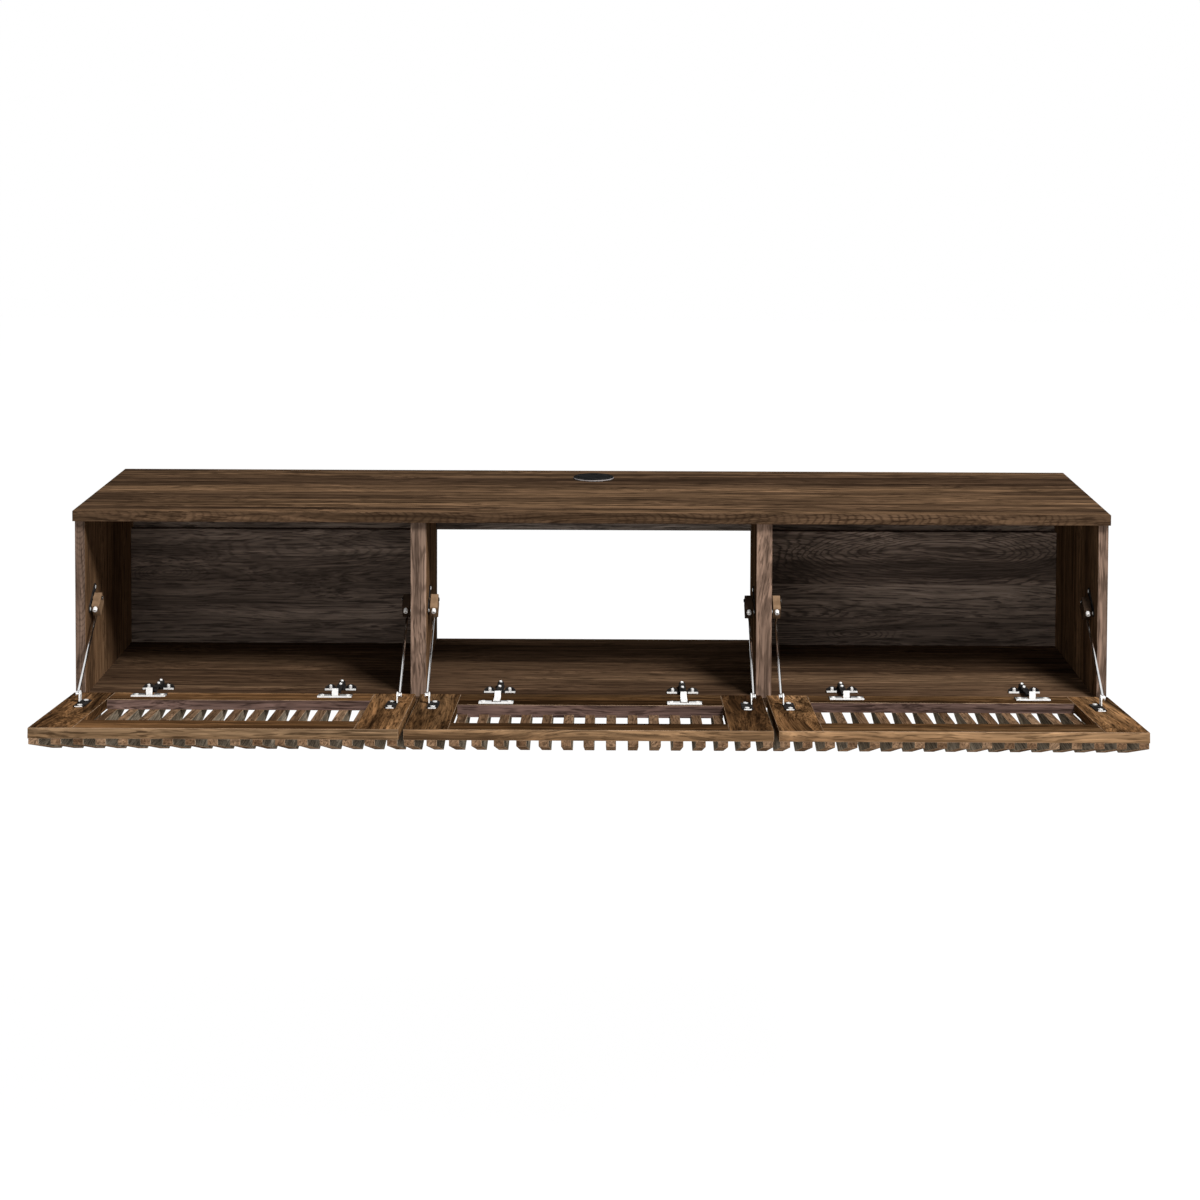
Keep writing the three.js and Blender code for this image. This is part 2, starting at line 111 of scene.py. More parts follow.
# %% [markdown]
# Materials and Geometry Nodes are node trees. These helpers add a node to the tree begun last and fill
# its inputs, with plain values or with other nodes' outputs, so that each tree below reads as a list of
# steps.

# %% Node helpers
# The trees begun so far
trees = []


def plug(socket, source):
    """Links another node's output to a socket, or sets the socket to a plain value."""
    if isinstance(source, bpy.types.NodeSocket):
        trees[-1].links.new(source, socket)
    else:
        socket.default_value = source


def add_node(kind, inputs=None, **settings):
    made = trees[-1].nodes.new(kind)
    for key, value in settings.items():
        setattr(made, key, value)
    for key, source in (inputs or {}).items():
        plug(made.inputs[key], source)
    return made


def arithmetic(operation, *sources):
    """An operation on one or two numbers. With more, it goes on over them from left to right."""
    made = add_node("ShaderNodeMath", dict(enumerate(sources[:2])), operation=operation).outputs[0]
    return arithmetic(operation, made, *sources[2:]) if sources[2:] else made


def total(*sources):
    return arithmetic("ADD", *sources)


def times(*sources):
    return arithmetic("MULTIPLY", *sources)


def less(a, b):
    return arithmetic("SUBTRACT", a, b)


def parts_of(vector):
    return add_node("ShaderNodeSeparateXYZ", {"Vector": vector}).outputs


def vector_of(**parts):
    inputs = {axis.upper(): source for axis, source in parts.items()}
    return add_node("ShaderNodeCombineXYZ", inputs).outputs[0]


def moved(vector, offset):
    return add_node("ShaderNodeVectorMath", {0: vector, 1: offset}, operation="ADD").outputs[0]


def range_map(value, low, high, to_low=0.0, to_high=1.0):
    inputs = {"Value": value, "From Min": low, "From Max": high, "To Min": to_low, "To Max": to_high}
    return add_node("ShaderNodeMapRange", inputs).outputs["Result"]


print("node helpers ready")

# %% Material helpers
def new_material(name):
    """Begins a material's tree, and returns the material and the object's own coordinates in it."""
    made = bpy.data.materials.new(name)
    made.use_nodes = True
    made.node_tree.nodes.clear()
    trees.append(made.node_tree)
    return made, add_node("ShaderNodeTexCoord").outputs["Object"]


def finish_material(shader):
    add_node("ShaderNodeOutputMaterial", {"Surface": shader})


def finish_surface(colour, roughness, bump, more):
    """Ends a material. bump is its height, strength and distance, and more what else its surface needs."""
    inputs = dict(zip(("Height", "Strength", "Distance"), bump))
    normal = add_node("ShaderNodeBump", inputs).outputs[0]
    inputs = {"Base Color": colour, "Roughness": roughness, "Normal": normal, **more}
    finish_material(add_node("ShaderNodeBsdfPrincipled", inputs).outputs[0])


def colour_steps(factor, steps):
    """A colour ramp over a factor, from (position, colour) steps."""
    ramp = add_node("ShaderNodeValToRGB", {"Fac": factor})
    elements = ramp.color_ramp.elements
    while len(elements) > 1:
        elements.remove(elements[-1])
    elements[0].position = steps[0][0]
    elements[0].color = (*steps[0][1], 1)
    for position, colour in steps[1:]:
        elements.new(position).color = (*colour, 1)
    return ramp.outputs["Color"]


def mix_colours(factor, a, b, mode="MIX"):
    """Mixes two colours, each a socket or a plain (red, green, blue)."""
    a, b = ((*colour, 1) if isinstance(colour, tuple) else colour for colour in (a, b))
    made = add_node("ShaderNodeMix", {0: factor, 6: a, 7: b}, data_type="RGBA", blend_type=mode)
    return made.outputs[2]


def shaded(colour, shade):
    """A colour made lighter or darker by a factor."""
    grey = add_node("ShaderNodeCombineColor", dict.fromkeys(("Red", "Green", "Blue"), shade))
    return mix_colours(1.0, colour, grey.outputs[0], "MULTIPLY")


def toned(tones, factor):
    return tuple(tuple(c * factor for c in tone) for tone in tones)


def noise(vector, scale=1.0, detail=2.0, rough=0.5):
    inputs = {"Vector": vector, "Scale": scale, "Detail": detail, "Roughness": rough}
    return add_node("ShaderNodeTexNoise", inputs).outputs["Fac"]


def stretched(vector, scale):
    return add_node("ShaderNodeMapping", {"Vector": vector, "Scale": scale}).outputs[0]


print("material helpers ready")

# %% [markdown]
# The walnut finish is a printed and brushed laminate. Its figure has several sizes: broad soft bands of
# lighter and darker brown, streaks and hair-thin lines that wander a little, growth lines that close into
# long pointed arches, and fine dark pores like short scratches. On a front edge that cuts across the
# board the growth lines are a row of small arcs instead. Each board gets its own place in the figure, and
# the grain runs along the board. The pattern reads the object's own coordinates, turned so that its X is
# the grain. The wood has no sheen at all, because a surface seen at a low angle would otherwise turn
# white with the studio.

# %% Walnut
QUARTER = math.pi / 2
GRAIN_TURNS = {"along_x": (0.0, 0.0, 0.0), "along_y": (0.0, 0.0, QUARTER), "along_z": (0.0, QUARTER, 0.0)}
# Each layer of the figure: its features in a metre along and across the grain, its detail and its roughness
FIGURE = {
    "swirl": (2.4, 11.0, 1.6, 0.45),
    "bands": (0.6, 15.0, 3.0, 0.55),
    "streaks": (1.7, 80.0, 4.0, 0.6),
    "hairs": (4.0, 300.0, 3.0, 0.58),
    "pores": (18.0, 380.0, 2.5, 0.6),
    "waver": (14.0, 45.0, 2.0, 0.5),
    "edge_patches": (7.0, 20.0, 1.0, 0.5),
    "face_patches": (1.2, 5.0, 1.0, 0.5),
}
# How far the swirl bends the streaks, and how many growth lines it spreads, in metres and radians
SWIRL_DRIFT, SWIRL_PHASE = 0.07, 170.0
WAVER_PHASE, RAGGED_PHASE = 16.0, 6.0
# How far along each axis the figure jumps from a plank to the next, in metres
PLANK_JUMP = {"x": 0.61, "y": 0.37, "z": 0.23}
NO_SHEEN = {"Specular IOR Level": 0.0}


def figure(vector, layer):
    """A layer of the figure: noise drawn out along the grain."""
    along, across, detail, rough = FIGURE[layer]
    return noise(stretched(vector, (along, across, across)), 1.0, detail, rough)


def edge_arcs(source, arcs):
    """Phase of the arcs on a narrow front edge: spacing along it, and how deep they curve over it."""
    along, across, centre, spacing, curve = arcs
    parts = parts_of(source)
    turns = 2 * math.pi / spacing
    off = less(parts[across], centre)
    return total(times(parts[along], turns), times(off, off, curve * turns))


def eye(source, place):
    """A hill in the figure, on which the growth lines close into long pointed rings."""
    along, across, centre, half_size, height = place
    parts = parts_of(source)
    squares = []
    for axis, middle, half in zip((along, across), centre, half_size):
        off = times(less(parts[axis], middle), 1 / half)
        squares.append(times(off, off))
    return times(arithmetic("EXPONENT", times(total(*squares), -1.0)), height)


def planks(source, seams):
    """How many plank seams lie below a point along one axis, and the shade of the plank that it is on."""
    axis, places, shades = seams
    parts = parts_of(source)
    count, shade = 0.0, shades[0]
    for place, below, above in zip(places, shades, shades[1:]):
        step = arithmetic("GREATER_THAN", parts[axis], place)
        count = total(step, count)
        shade = total(times(step, above - below), shade)
    return count, shade


def growth_lines(turned, swirl, hairs, hills, arc_phase):
    """Ragged lines along the heights of the swirl, or along arcs, that show in patches and on the hills."""
    phase = arc_phase or times(total(swirl, *hills) if hills else swirl, SWIRL_PHASE)
    waver = times(figure(turned, "waver"), WAVER_PHASE)
    ragged = total(phase, waver, times(hairs, RAGGED_PHASE))
    lines = range_map(arithmetic("SINE", ragged), 0.1, 1.0)
    shown = range_map(figure(turned, "edge_patches" if arc_phase else "face_patches"), 0.38, 0.6)
    for hill in hills:
        shown = arithmetic("MINIMUM", total(shown, times(hill, 5.0)), 1.0)
    return times(lines, shown)


def walnut(name, grain, place, tones, arch=0.5, depth=0.42, arcs=None, seams=None, eyes=()):
    """One board's walnut. tones are its dark, middle and light browns, arch says how strongly the growth
    lines show, and depth how far the streaks go from the tone. eyes are the places where rings close."""
    made, source = new_material(name)
    inputs = {"Vector": source, "Location": place, "Rotation": GRAIN_TURNS[grain]}
    turned = add_node("ShaderNodeMapping", inputs).outputs[0]
    if seams:
        plank, plank_shade = planks(source, seams)
        jump = {axis: times(plank, share) for axis, share in PLANK_JUMP.items()}
        turned = moved(turned, vector_of(**jump))
    swirl = figure(turned, "swirl")
    drift = times(swirl, SWIRL_DRIFT)
    wandering = moved(turned, vector_of(y=drift, z=drift))
    bands = figure(turned, "bands")
    streaks = figure(wandering, "streaks")
    hairs = figure(wandering, "hairs")
    pores = range_map(figure(wandering, "pores"), 0.53, 0.61)
    hills = [eye(source, spot) for spot in eyes]
    lines = growth_lines(turned, swirl, hairs, hills, edge_arcs(source, arcs) if arcs else None)

    dark, middle, light = tones
    base = colour_steps(bands, [(0.32, dark), (0.5, middle), (0.68, light)])
    base = shaded(base, range_map(streaks, 0.32, 0.68, 1 - depth, 1 + depth))
    base = shaded(base, range_map(hairs, 0.34, 0.66, 0.62, 1.38))
    base = mix_colours(times(lines, arch), base, tuple(c * 0.5 for c in dark))
    base = mix_colours(times(pores, 0.72), base, tuple(c * 0.45 for c in dark))
    if seams:
        base = shaded(base, plank_shade)
    height = total(times(pores, -1.0), times(hairs, 0.6))
    finish_surface(base, range_map(streaks, 0.2, 0.8, 0.40, 0.56), (height, 0.3, 0.0004), NO_SHEEN)
    return made


TOP_TONES = ((0.018, 0.010, 0.006), (0.072, 0.042, 0.024), (0.165, 0.097, 0.052))
TOP_EDGE_TONES = ((0.042, 0.023, 0.013), (0.066, 0.038, 0.021), (0.092, 0.055, 0.032))
CARCASS_TONES = ((0.050, 0.028, 0.016), (0.105, 0.061, 0.035), (0.170, 0.102, 0.058))
SIDE_TONES = ((0.060, 0.033, 0.018), (0.125, 0.070, 0.036), (0.190, 0.110, 0.058))
EDGE_TONES = ((0.110, 0.070, 0.050), (0.205, 0.136, 0.100), (0.300, 0.208, 0.155))
INNER_TONES = ((0.060, 0.044, 0.035), (0.140, 0.105, 0.084), (0.225, 0.172, 0.138))
# The centre rail's tones are far lighter than the other inner boards': painted light, for light on it under
# the top
PAINTED_LIGHT_RAIL_TONES = ((0.155, 0.124, 0.104), (0.361, 0.296, 0.250), (0.580, 0.482, 0.410))
DOOR_TONES = ((0.030, 0.014, 0.006), (0.105, 0.053, 0.022), (0.195, 0.108, 0.050))
BAND_TONES = ((0.095, 0.052, 0.025), (0.205, 0.123, 0.064), (0.330, 0.215, 0.125))
WALL_TONES = ((0.045, 0.026, 0.021), (0.092, 0.055, 0.045), (0.150, 0.096, 0.080))
EDGE_HIGHLIGHT_TONES = ((0.200, 0.125, 0.075), (0.310, 0.205, 0.130), (0.420, 0.300, 0.200))
SLAT_TONES = ((0.075, 0.040, 0.021), (0.155, 0.090, 0.050), (0.250, 0.158, 0.095))
SLAT_SIDE_TONES = ((0.130, 0.100, 0.068), (0.220, 0.178, 0.130), (0.300, 0.250, 0.190))
print("walnut layers", list(FIGURE))

# %% [markdown]
# The hinges and stays are steel. Their rods are a chrome mirror with faint brushing, and their plates
# scatter most of the light, so that they stay bright where a mirror would only show the brown wood. Tops
# and recesses that look black in the photograph are painted matt black: painted shade and dark reflection
# on the steel. The guides of the stays are brown plastic, darker on right-hand walls as painted shade, and
# the cable grommet is black plastic. Plastic and painted black have no sheen, for the same reason as the
# wood, and a very fine grain.

# %% Metal and plastic
BRUSHING = (300.0, 4000.0, 300.0)


def plated_metal(name, colour, roughness, brushing, mirror=1.0):
    """Plated steel. mirror is 1 for a bright plate, and less for a satin one that also scatters light."""
    made, source = new_material(name)
    scratches = noise(stretched(source, BRUSHING), 1.0, 3.0)
    cloud = noise(source, 60.0)
    tint = mix_colours(range_map(cloud, 0.3, 0.7), tuple(c * 0.88 for c in colour), colour)
    shine = range_map(cloud, 0.3, 0.7, roughness, roughness + 0.08)
    finish_surface(tint, shine, (scratches, brushing, 0.00005), {"Metallic": mirror})
    return made


def matt_coat(name, dark, light, roughness=0.4):
    """Plastic, or steel painted black, which paints the shade and dark reflections on it."""
    made, source = new_material(name)
    cloud = noise(source, 90.0, 3.0)
    tint = mix_colours(range_map(cloud, 0.35, 0.65), dark, light)
    shine = range_map(cloud, 0.3, 0.7, roughness, roughness + 0.08)
    finish_surface(tint, shine, (noise(source, 2500.0), 0.3, 0.00006), NO_SHEEN)
    return made


chrome = plated_metal("chrome_plate", (0.80, 0.80, 0.80), 0.10, 0.1)
bright_steel = plated_metal("bright_steel", (0.95, 0.94, 0.92), 0.28, 0.2, 0.1)
nickel = plated_metal("nickel_plate", (0.72, 0.71, 0.69), 0.22, 0.25, 0.45)
screw_steel = plated_metal("screw_steel", (0.92, 0.91, 0.89), 0.2, 0.15, 0.3)
black_plastic = matt_coat("black_plastic", (0.010, 0.010, 0.010), (0.018, 0.017, 0.017))
# Black on the steel parts paints the shade and dark reflections on them
painted_shade_steel = matt_coat("painted_shade_steel", (0.010, 0.009, 0.009), (0.034, 0.031, 0.029), 0.3)
# A lighter grey that paints the highlight on the grommet's rounded lip
painted_highlight_plastic = matt_coat("painted_highlight_plastic", (0.20, 0.18, 0.18), (0.26, 0.24, 0.23))
tan_plastic = matt_coat("tan_plastic", (0.17, 0.105, 0.060), (0.25, 0.158, 0.092))
# The guides' plastic again, darker as painted shade, for guides on right-hand walls
painted_shade_plastic = matt_coat("painted_shade_plastic", (0.030, 0.019, 0.013), (0.045, 0.028, 0.018))
print("finishes", [m.name for m in bpy.data.materials])

# %% [markdown]
# Most pieces are built as small closed shapes in millimetres and then moved to their place. These
# helpers add an outline pushed to a thickness, a block, a block with pockets and a turned shape to one
# mesh, and make an object of it whose corners a bevel rounds off.

# %% Shape helpers
# Turns an outline of (x, height) points so that it is pushed backwards, and one of (y, z) points along X
ACROSS = Matrix(((1, 0, 0, 0), (0, 0, 1, 0), (0, 1, 0, 0), (0, 0, 0, 1)))
SIDEWAYS = Matrix(((0, 0, 1, 0), (1, 0, 0, 0), (0, 1, 0, 0), (0, 0, 0, 1)))
# Turns a shape made along Z to stand along another axis
FACING = {
    "x": Matrix.Rotation(math.pi / 2, 4, "Y"),
    "y": Matrix.Rotation(-math.pi / 2, 4, "X"),
    "-y": Matrix.Rotation(math.pi / 2, 4, "X"),
}


def add_outline(shape, outline, low, high, place=None, material=0):
    """A closed outline of (x, y) points pushed from low to high along Z."""
    place = place or Matrix()
    foot, head = ([shape.verts.new(place @ Vector((x, y, z))) for x, y in outline] for z in (low, high))
    sides = [[foot[i - 1], foot[i], head[i], head[i - 1]] for i in range(len(outline))]
    for corners in (foot[::-1], head, *sides):
        shape.faces.new(corners).material_index = material


def add_block(shape, x, y, z, material=0):
    add_outline(shape, [(x[0], y[0]), (x[1], y[0]), (x[1], y[1]), (x[0], y[1])], *z, None, material)


def add_pocketed_block(shape, x, y, z, pockets, pocket_z, depth, material=0):
    """A block with rectangular pockets sunk into its face at y[1]. pockets are their (low, high) along X."""
    along = [x[0], *(edge for pocket in pockets for edge in pocket), x[1]]
    up = [z[0], *pocket_z, z[1]]
    inner = [[shape.verts.new((a, y[1], c)) for c in up] for a in along]
    outer = [[shape.verts.new((a, y[0], c)) for c in z] for a in x]
    faces = [[outer[0][0], outer[1][0], outer[1][1], outer[0][1]]]
    faces += [[outer[0][j], outer[1][j], *(column[3 * j] for column in inner[::-1])] for j in (0, 1)]
    faces += [[outer[i][0], outer[i][1], *inner[-i][::-1]] for i in (0, 1)]
    for i in range(len(along) - 1):
        for j in range(3):
            ring = [inner[i][j], inner[i + 1][j], inner[i + 1][j + 1], inner[i][j + 1]]
            if j != 1 or i % 2 == 0:
                faces.append(ring)
                continue
            floor_ring = [shape.verts.new(v.co - Vector((0, depth, 0))) for v in ring]
            faces.append(floor_ring)
            faces += [[ring[k - 1], ring[k], floor_ring[k], floor_ring[k - 1]] for k in range(4)]
    for corners in faces:
        shape.faces.new(corners).material_index = material


def add_turned(shape, profile, sides=32, place=None, material=0):
    """A shape turned about Z from (radius, height) points. A radius of 0 closes it at a point."""
    place = place or Matrix()
    angles = [2 * math.pi * i / sides for i in range(sides)]
    rings = []
    for radius, height in profile:
        ring = [(radius * math.cos(a), radius * math.sin(a), height) for a in angles]
        spots = ring if radius else ring[:1]
        rings.append([shape.verts.new(place @ Vector(spot)) for spot in spots])
    for low, high in zip(rings, rings[1:]):
        for i in range(sides):
            if len(low) == 1:
                face = [low[0], high[i], high[i - 1]]
            elif len(high) == 1:
                face = [low[i - 1], low[i], high[0]]
            else:
                face = [low[i - 1], low[i], high[i], high[i - 1]]
            shape.faces.new(face).material_index = material


def add_disc(shape, radius, low, high, place, sides=24, material=0):
    add_turned(shape, [(0, low), (radius, low), (radius, high), (0, high)], sides, place, material)


def arc(centre, radius, start, end, steps):
    """Points along an arc between two angles in degrees."""
    angles = [math.radians(start + (end - start) * i / steps) for i in range(steps + 1)]
    return [(centre[0] + radius * math.cos(a), centre[1] + radius * math.sin(a)) for a in angles]


def rounded_outline(x, y, radius, steps=5):
    """A rectangle with round corners, as (x, y) points."""
    (left, right), (low, high) = ((v[0] + radius, v[1] - radius) for v in (x, y))
    points = []
    for i, corner in enumerate(((right, high), (left, high), (left, low), (right, low))):
        points += arc(corner, radius, 90 * i, 90 * i + 90, steps)
    return points


def make_piece(name, shape, place, *rest, **more):
    """Moves the collected shape to its place and makes a piece of it."""
    bmesh.ops.transform(shape, matrix=place, verts=shape.verts)
    bmesh.ops.recalc_face_normals(shape, faces=shape.faces)
    mesh = bpy.data.meshes.new(name)
    shape.to_mesh(mesh)
    shape.free()
    return dress(name, mesh, *rest, **more)


def dress(name, mesh, materials, body, nodes=(), slot=None, bevel=0.0, segments=2, smooth=35):
    """A smooth-shaded piece with round edges that rides on a body and stands for nodes of the solid model."""
    mesh.polygons.foreach_set("use_smooth", [True] * len(mesh.polygons))
    mesh.set_sharp_from_angle(angle=math.radians(smooth))
    for material in materials:
        mesh.materials.append(material)
    piece = bpy.data.objects.new(name, mesh)
    bpy.context.scene.collection.objects.link(piece)
    if bevel:
        rounding = piece.modifiers.new("rounded_edges", "BEVEL")
        rounding.width = bevel * MM
        rounding.segments = segments
        rounding.limit_method = "ANGLE"
        rounding.angle_limit = math.radians(30)
        rounding.harden_normals = True
    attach(piece, body)
    if nodes:
        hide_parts(*nodes)
    return piece


def merged_copy(node):
    """The solid model's node as a mesh with shared corners and whole faces, ready for a bevel."""
    shape = bmesh.new()
    shape.from_mesh(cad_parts[node].data)
    bmesh.ops.remove_doubles(shape, verts=shape.verts, dist=1e-5)
    bmesh.ops.dissolve_limit(shape, angle_limit=math.radians(1), verts=shape.verts, edges=shape.edges)
    for face in shape.faces:
        face.material_index = 0
    return shape


print("shape helpers ready")

# %% [markdown]
# The carcass is sawn board. Its edges are sharp but not knife-sharp, so each board is a copy of the solid
# model's board with its corners merged and a bevel of about half a millimetre. The top has a larger one,
# because its laminate wraps over the edge. Front edges get a walnut of their own.

# %% Carcass boards
# Grain, place in the figure, tones, strength of the growth lines, slot and bevel
BOARDS = {
    "top_panel": ("along_x", (0.3, 0.07, 0.0), TOP_TONES, 0.3, "walnut", 0.9),
    "bottom_panel": ("along_x", (2.1, 0.4, 0.3), CARCASS_TONES, 0.25, "walnut", 0.6),
    "left_side_panel": ("along_z", (4.0, 0.9, 0.1), toned(SIDE_TONES, 1.3), 0.3, "walnut", 0.6),
    "right_side_panel": ("along_z", (5.3, 0.2, 0.6), SIDE_TONES, 0.3, "walnut", 0.6),
    "left_divider": ("along_z", (6.1, 1.3, 0.2), toned(SIDE_TONES, 1.4), 0.3, "walnut", 0.6),
    "right_divider": ("along_z", (7.7, 1.9, 0.5), SIDE_TONES, 0.3, "walnut", 0.6),
    # The back boards' tones are lifted by 1.15 on the left and 1.2 on the right: painted light, in place of
    # fill light
    "left_back_panel": ("along_x", (8.2, 0.5, 0.8), toned(INNER_TONES, 1.15), 0.4, "walnut_dark", 0.5),
    "right_back_panel": ("along_x", (9.9, 0.15, 0.35), toned(INNER_TONES, 1.2), 0.72, "walnut_dark", 0.5),
    "left_hanging_rail": ("along_x", (8.2, 0.5, 0.8), INNER_TONES, 0.5, "walnut_dark", 0.5),
    "centre_hanging_rail": ("along_x", (3.2, 0.8, 0.1), PAINTED_LIGHT_RAIL_TONES, 0.5, "walnut_dark", 0.5),
    "right_hanging_rail": ("along_x", (9.9, 0.15, 0.35), toned(INNER_TONES, 1.15), 0.5, "walnut_dark", 0.5),
}
# The front edges that carry arcs: direction, direction across, its middle, spacing and curve
FRONT_ARCS = {
    "top_panel": ("X", "Z", 0.051, 0.013, 90.0),
    "left_side_panel": ("Z", "X", -0.8155, 0.010, -110.0),
    "right_side_panel": ("Z", "X", 0.75, 0.060, -6.0),
    "left_divider": ("Z", "X", -0.31, 0.050, -9.0),
    "right_divider": ("Z", "X", 0.23, 0.070, -6.0),
}
EDGE_SHADES = {"left_side_panel": 0.64, "right_divider": 1.3}
# How far the streaks of a board go to either side of its tone
STREAK_DEPTHS = {"top_panel": 0.62, "left_side_panel": 0.3, "left_divider": 0.3, "right_divider": 0.3}
# Where the printed figure changes from one plank to the next, and the shade of each plank
SEAMS = {
    "top_panel": ("Y", (-0.355, -0.318, -0.225, -0.12, -0.06), (1.0, 1.07, 0.9, 1.06, 1.02, 0.91)),
    # The bottom board's lighter front strip and darker middle strip are painted light and shade on the floor
    "bottom_panel": ("Y", (-0.335, -0.22), (1.2, 0.82, 1.0)),
    "left_back_panel": ("Z", (-0.205, -0.172, -0.132), (1.0, 1.07, 0.9, 1.06)),
    "right_back_panel": ("Z", (-0.19, -0.132), (1.0, 1.0, 1.4)),
}
# Where growth rings close into eyes: along and across the grain, the middle, the half sizes and the height
EYES = {
    "left_back_panel": [
        ("X", "Z", (-0.745, -0.112), (0.060, 0.018), 0.30),
        ("X", "Z", (-0.480, -0.070), (0.190, 0.030), 0.22),
    ],
    "right_back_panel": [
        ("X", "Z", (0.620, -0.078), (0.230, 0.036), 0.42),
        ("X", "Z", (0.460, -0.221), (0.060, 0.013), 0.25),
    ],
}
FRONT = at(0, 5, 0).y

for node, (grain, place, tones, arch, slot, bevel) in BOARDS.items():
    special = {"depth": STREAK_DEPTHS.get(node, 0.42), "seams": SEAMS.get(node), "eyes": EYES.get(node, ())}
    finishes = [walnut(node + "_walnut", grain, place, tones, arch, **special)]
    shape = merged_copy(node)
    if node in FRONT_ARCS:
        edge_tones = TOP_EDGE_TONES if node == "top_panel" else toned(EDGE_TONES, EDGE_SHADES.get(node, 1.0))
        finishes.append(walnut(node + "_edge_walnut", grain, place, edge_tones, 0.6, arcs=FRONT_ARCS[node]))
        shape.normal_update()
        for face in shape.faces:
            if face.normal.y < -0.9 and face.calc_center_median().y < FRONT:
                face.material_index = 1
    name = node.replace("_panel", "") + "_board"
    board = make_piece(name, shape, Matrix(), finishes, "cabinet", [node], slot, bevel)
    print(board.name, len(board.data.polygons), "faces")

# %% [markdown]
# Each door is a flat frame of two uprights and two cross rails, laid on slats that run from the foot to
# the top. The uprights run the whole height and the rails are butted between them, which leaves the
# fine joint lines that show at the corners. One thin band covers the front edge from end to end, with its
# grain along the door. The hinge rail has pockets for the arms of the hinges, which reach into them when
# the door is closed. All sharp edges are eased, and a lighter walnut on their rounded faces paints fine
# highlight lines along them.

# %% Door frames
DOOR_WIDTH, DOOR_HEIGHT, DOOR_THICKNESS = 544.0, 293.5, 15.5
DOOR_FOOT, INNER_FACE, STILE = 1.0, -2.0, 65.0
OUTER_FACE = INNER_FACE - DOOR_THICKNESS
DOOR_TOP = DOOR_FOOT + DOOR_HEIGHT
JOINT_LINE, BAND = 0.3, 0.8
# How wide the hinge rail and the front rail are, and how far the hinge rail goes down among the slats
RAILS = {"left": (61, 63, 0), "centre": (92, 53, 4), "right": (61, 63, 0)}
HINGE_X = DOOR_WIDTH / 2 - 125
CUP_START = {"left": 16, "centre": 64, "right": 16}
POCKET_HALF, POCKET_RUN, POCKET_DEPTH = 7.3, (0.9, 18.6), 11.0
UPRIGHT_SHADE = {"left": 1.5, "centre": 0.85, "right": 1.25}
RAIL_SHADE = {"left": 1.7, "centre": 0.68, "right": 0.85}
BAND_SHADE = {"left": 0.74, "centre": 1.1, "right": 1.4}
# Growth rings that close on an upright of the left and of the right door
STILE_EYES = {
    "left": [("Y", "X", (-0.64, -0.315), (0.070, 0.022), 0.40)],
    "right": [("Y", "X", (-0.56, 0.305), (0.090, 0.024), 0.40)],
}
# A lighter walnut on the rounded edges of doors and slats paints fine highlight lines along them
painted_highlight_edge = walnut("eased_edge_walnut", "along_x", (5.0, 0.3, 0.8), EDGE_HIGHLIGHT_TONES, 0.2, depth=0.3)
UPRIGHT_WOOD, RAIL_WOOD, BAND_WOOD, WALL_WOOD, EDGE_HIGHLIGHT_WOOD = range(5)


def door_woods(number, name):
    """The walnuts of a door, in the order of the numbers above. Each door has its own place in the figure."""
    tones = toned(DOOR_TONES, UPRIGHT_SHADE[name])
    place, more = (1.7 * number, 0.6 * number, 0.2), {"depth": 0.85, "eyes": STILE_EYES.get(name, ())}
    woods = [walnut(name + "_upright_walnut", "along_y", place, tones, 0.45, **more)]
    for part, place, tones, arch, depth in (
        ("rail", (2.3 * number + 0.4, 0.3, 0.9), toned(DOOR_TONES, RAIL_SHADE[name]), 0.4, 0.6),
        ("band", (1.1 * number + 0.7, 0.9, 0.4), toned(BAND_TONES, BAND_SHADE[name]), 0.35, 0.42),
        ("wall", (1.9 * number + 0.3, 0.5, 0.1), WALL_TONES, 0.3, 0.42),
    ):
        woods.append(walnut(f"{name}_{part}_walnut", "along_x", place, tones, arch, depth))
    return [*woods, painted_highlight_edge]


for number, name in enumerate(DOOR_MIDDLES):
    hinge_rail, front_rail, drop = RAILS[name]
    half, opening = DOOR_WIDTH / 2, DOOR_WIDTH / 2 - STILE
    across = (OUTER_FACE, INNER_FACE)
    shape = bmesh.new()
    for x in ((-half, -opening), (opening, half)):
        add_block(shape, x, across, (DOOR_FOOT, DOOR_TOP - BAND), UPRIGHT_WOOD)
    add_block(shape, (-half, half), across, (DOOR_TOP - BAND, DOOR_TOP), BAND_WOOD)
    x = (-opening + JOINT_LINE, opening - JOINT_LINE)
    pockets = [(middle - POCKET_HALF, middle + POCKET_HALF) for middle in (-HINGE_X, HINGE_X)]
    pocket_z = [DOOR_FOOT + CUP_START[name] + run for run in POCKET_RUN]
    rail_y, rail_z = (OUTER_FACE - drop, INNER_FACE), (DOOR_FOOT, DOOR_FOOT + hinge_rail)
    add_pocketed_block(shape, x, rail_y, rail_z, pockets, pocket_z, POCKET_DEPTH, RAIL_WOOD)
    add_block(shape, x, across, (DOOR_TOP - front_rail, DOOR_TOP - BAND), RAIL_WOOD)
    for face in shape.faces:
        if abs(face.calc_center_median().z - rail_z[1]) < 0.01 and face.material_index == RAIL_WOOD:
            face.material_index = WALL_WOOD
    nodes = [f"{name}_door_left_stile", f"{name}_door_right_stile", f"{name}_door_grille"]
    woods, body = door_woods(number, name), name + "_door"
    made = make_piece(body + "_frame", shape, door_matrix(name), woods, body, nodes, "walnut_door", 0.5)
    made.modifiers["rounded_edges"].material = EDGE_HIGHLIGHT_WOOD
    print(made.name, [round(v, 3) for v in made.dimensions])

# %% [markdown]
# The slats repeat at a fixed pitch, so Geometry Nodes make them: a row of points, and on each a bar whose
# back is flat and whose face swells to a ridge half way up. The tree takes the sizes of a slat as named
# inputs. Its result is made a plain mesh for each door.

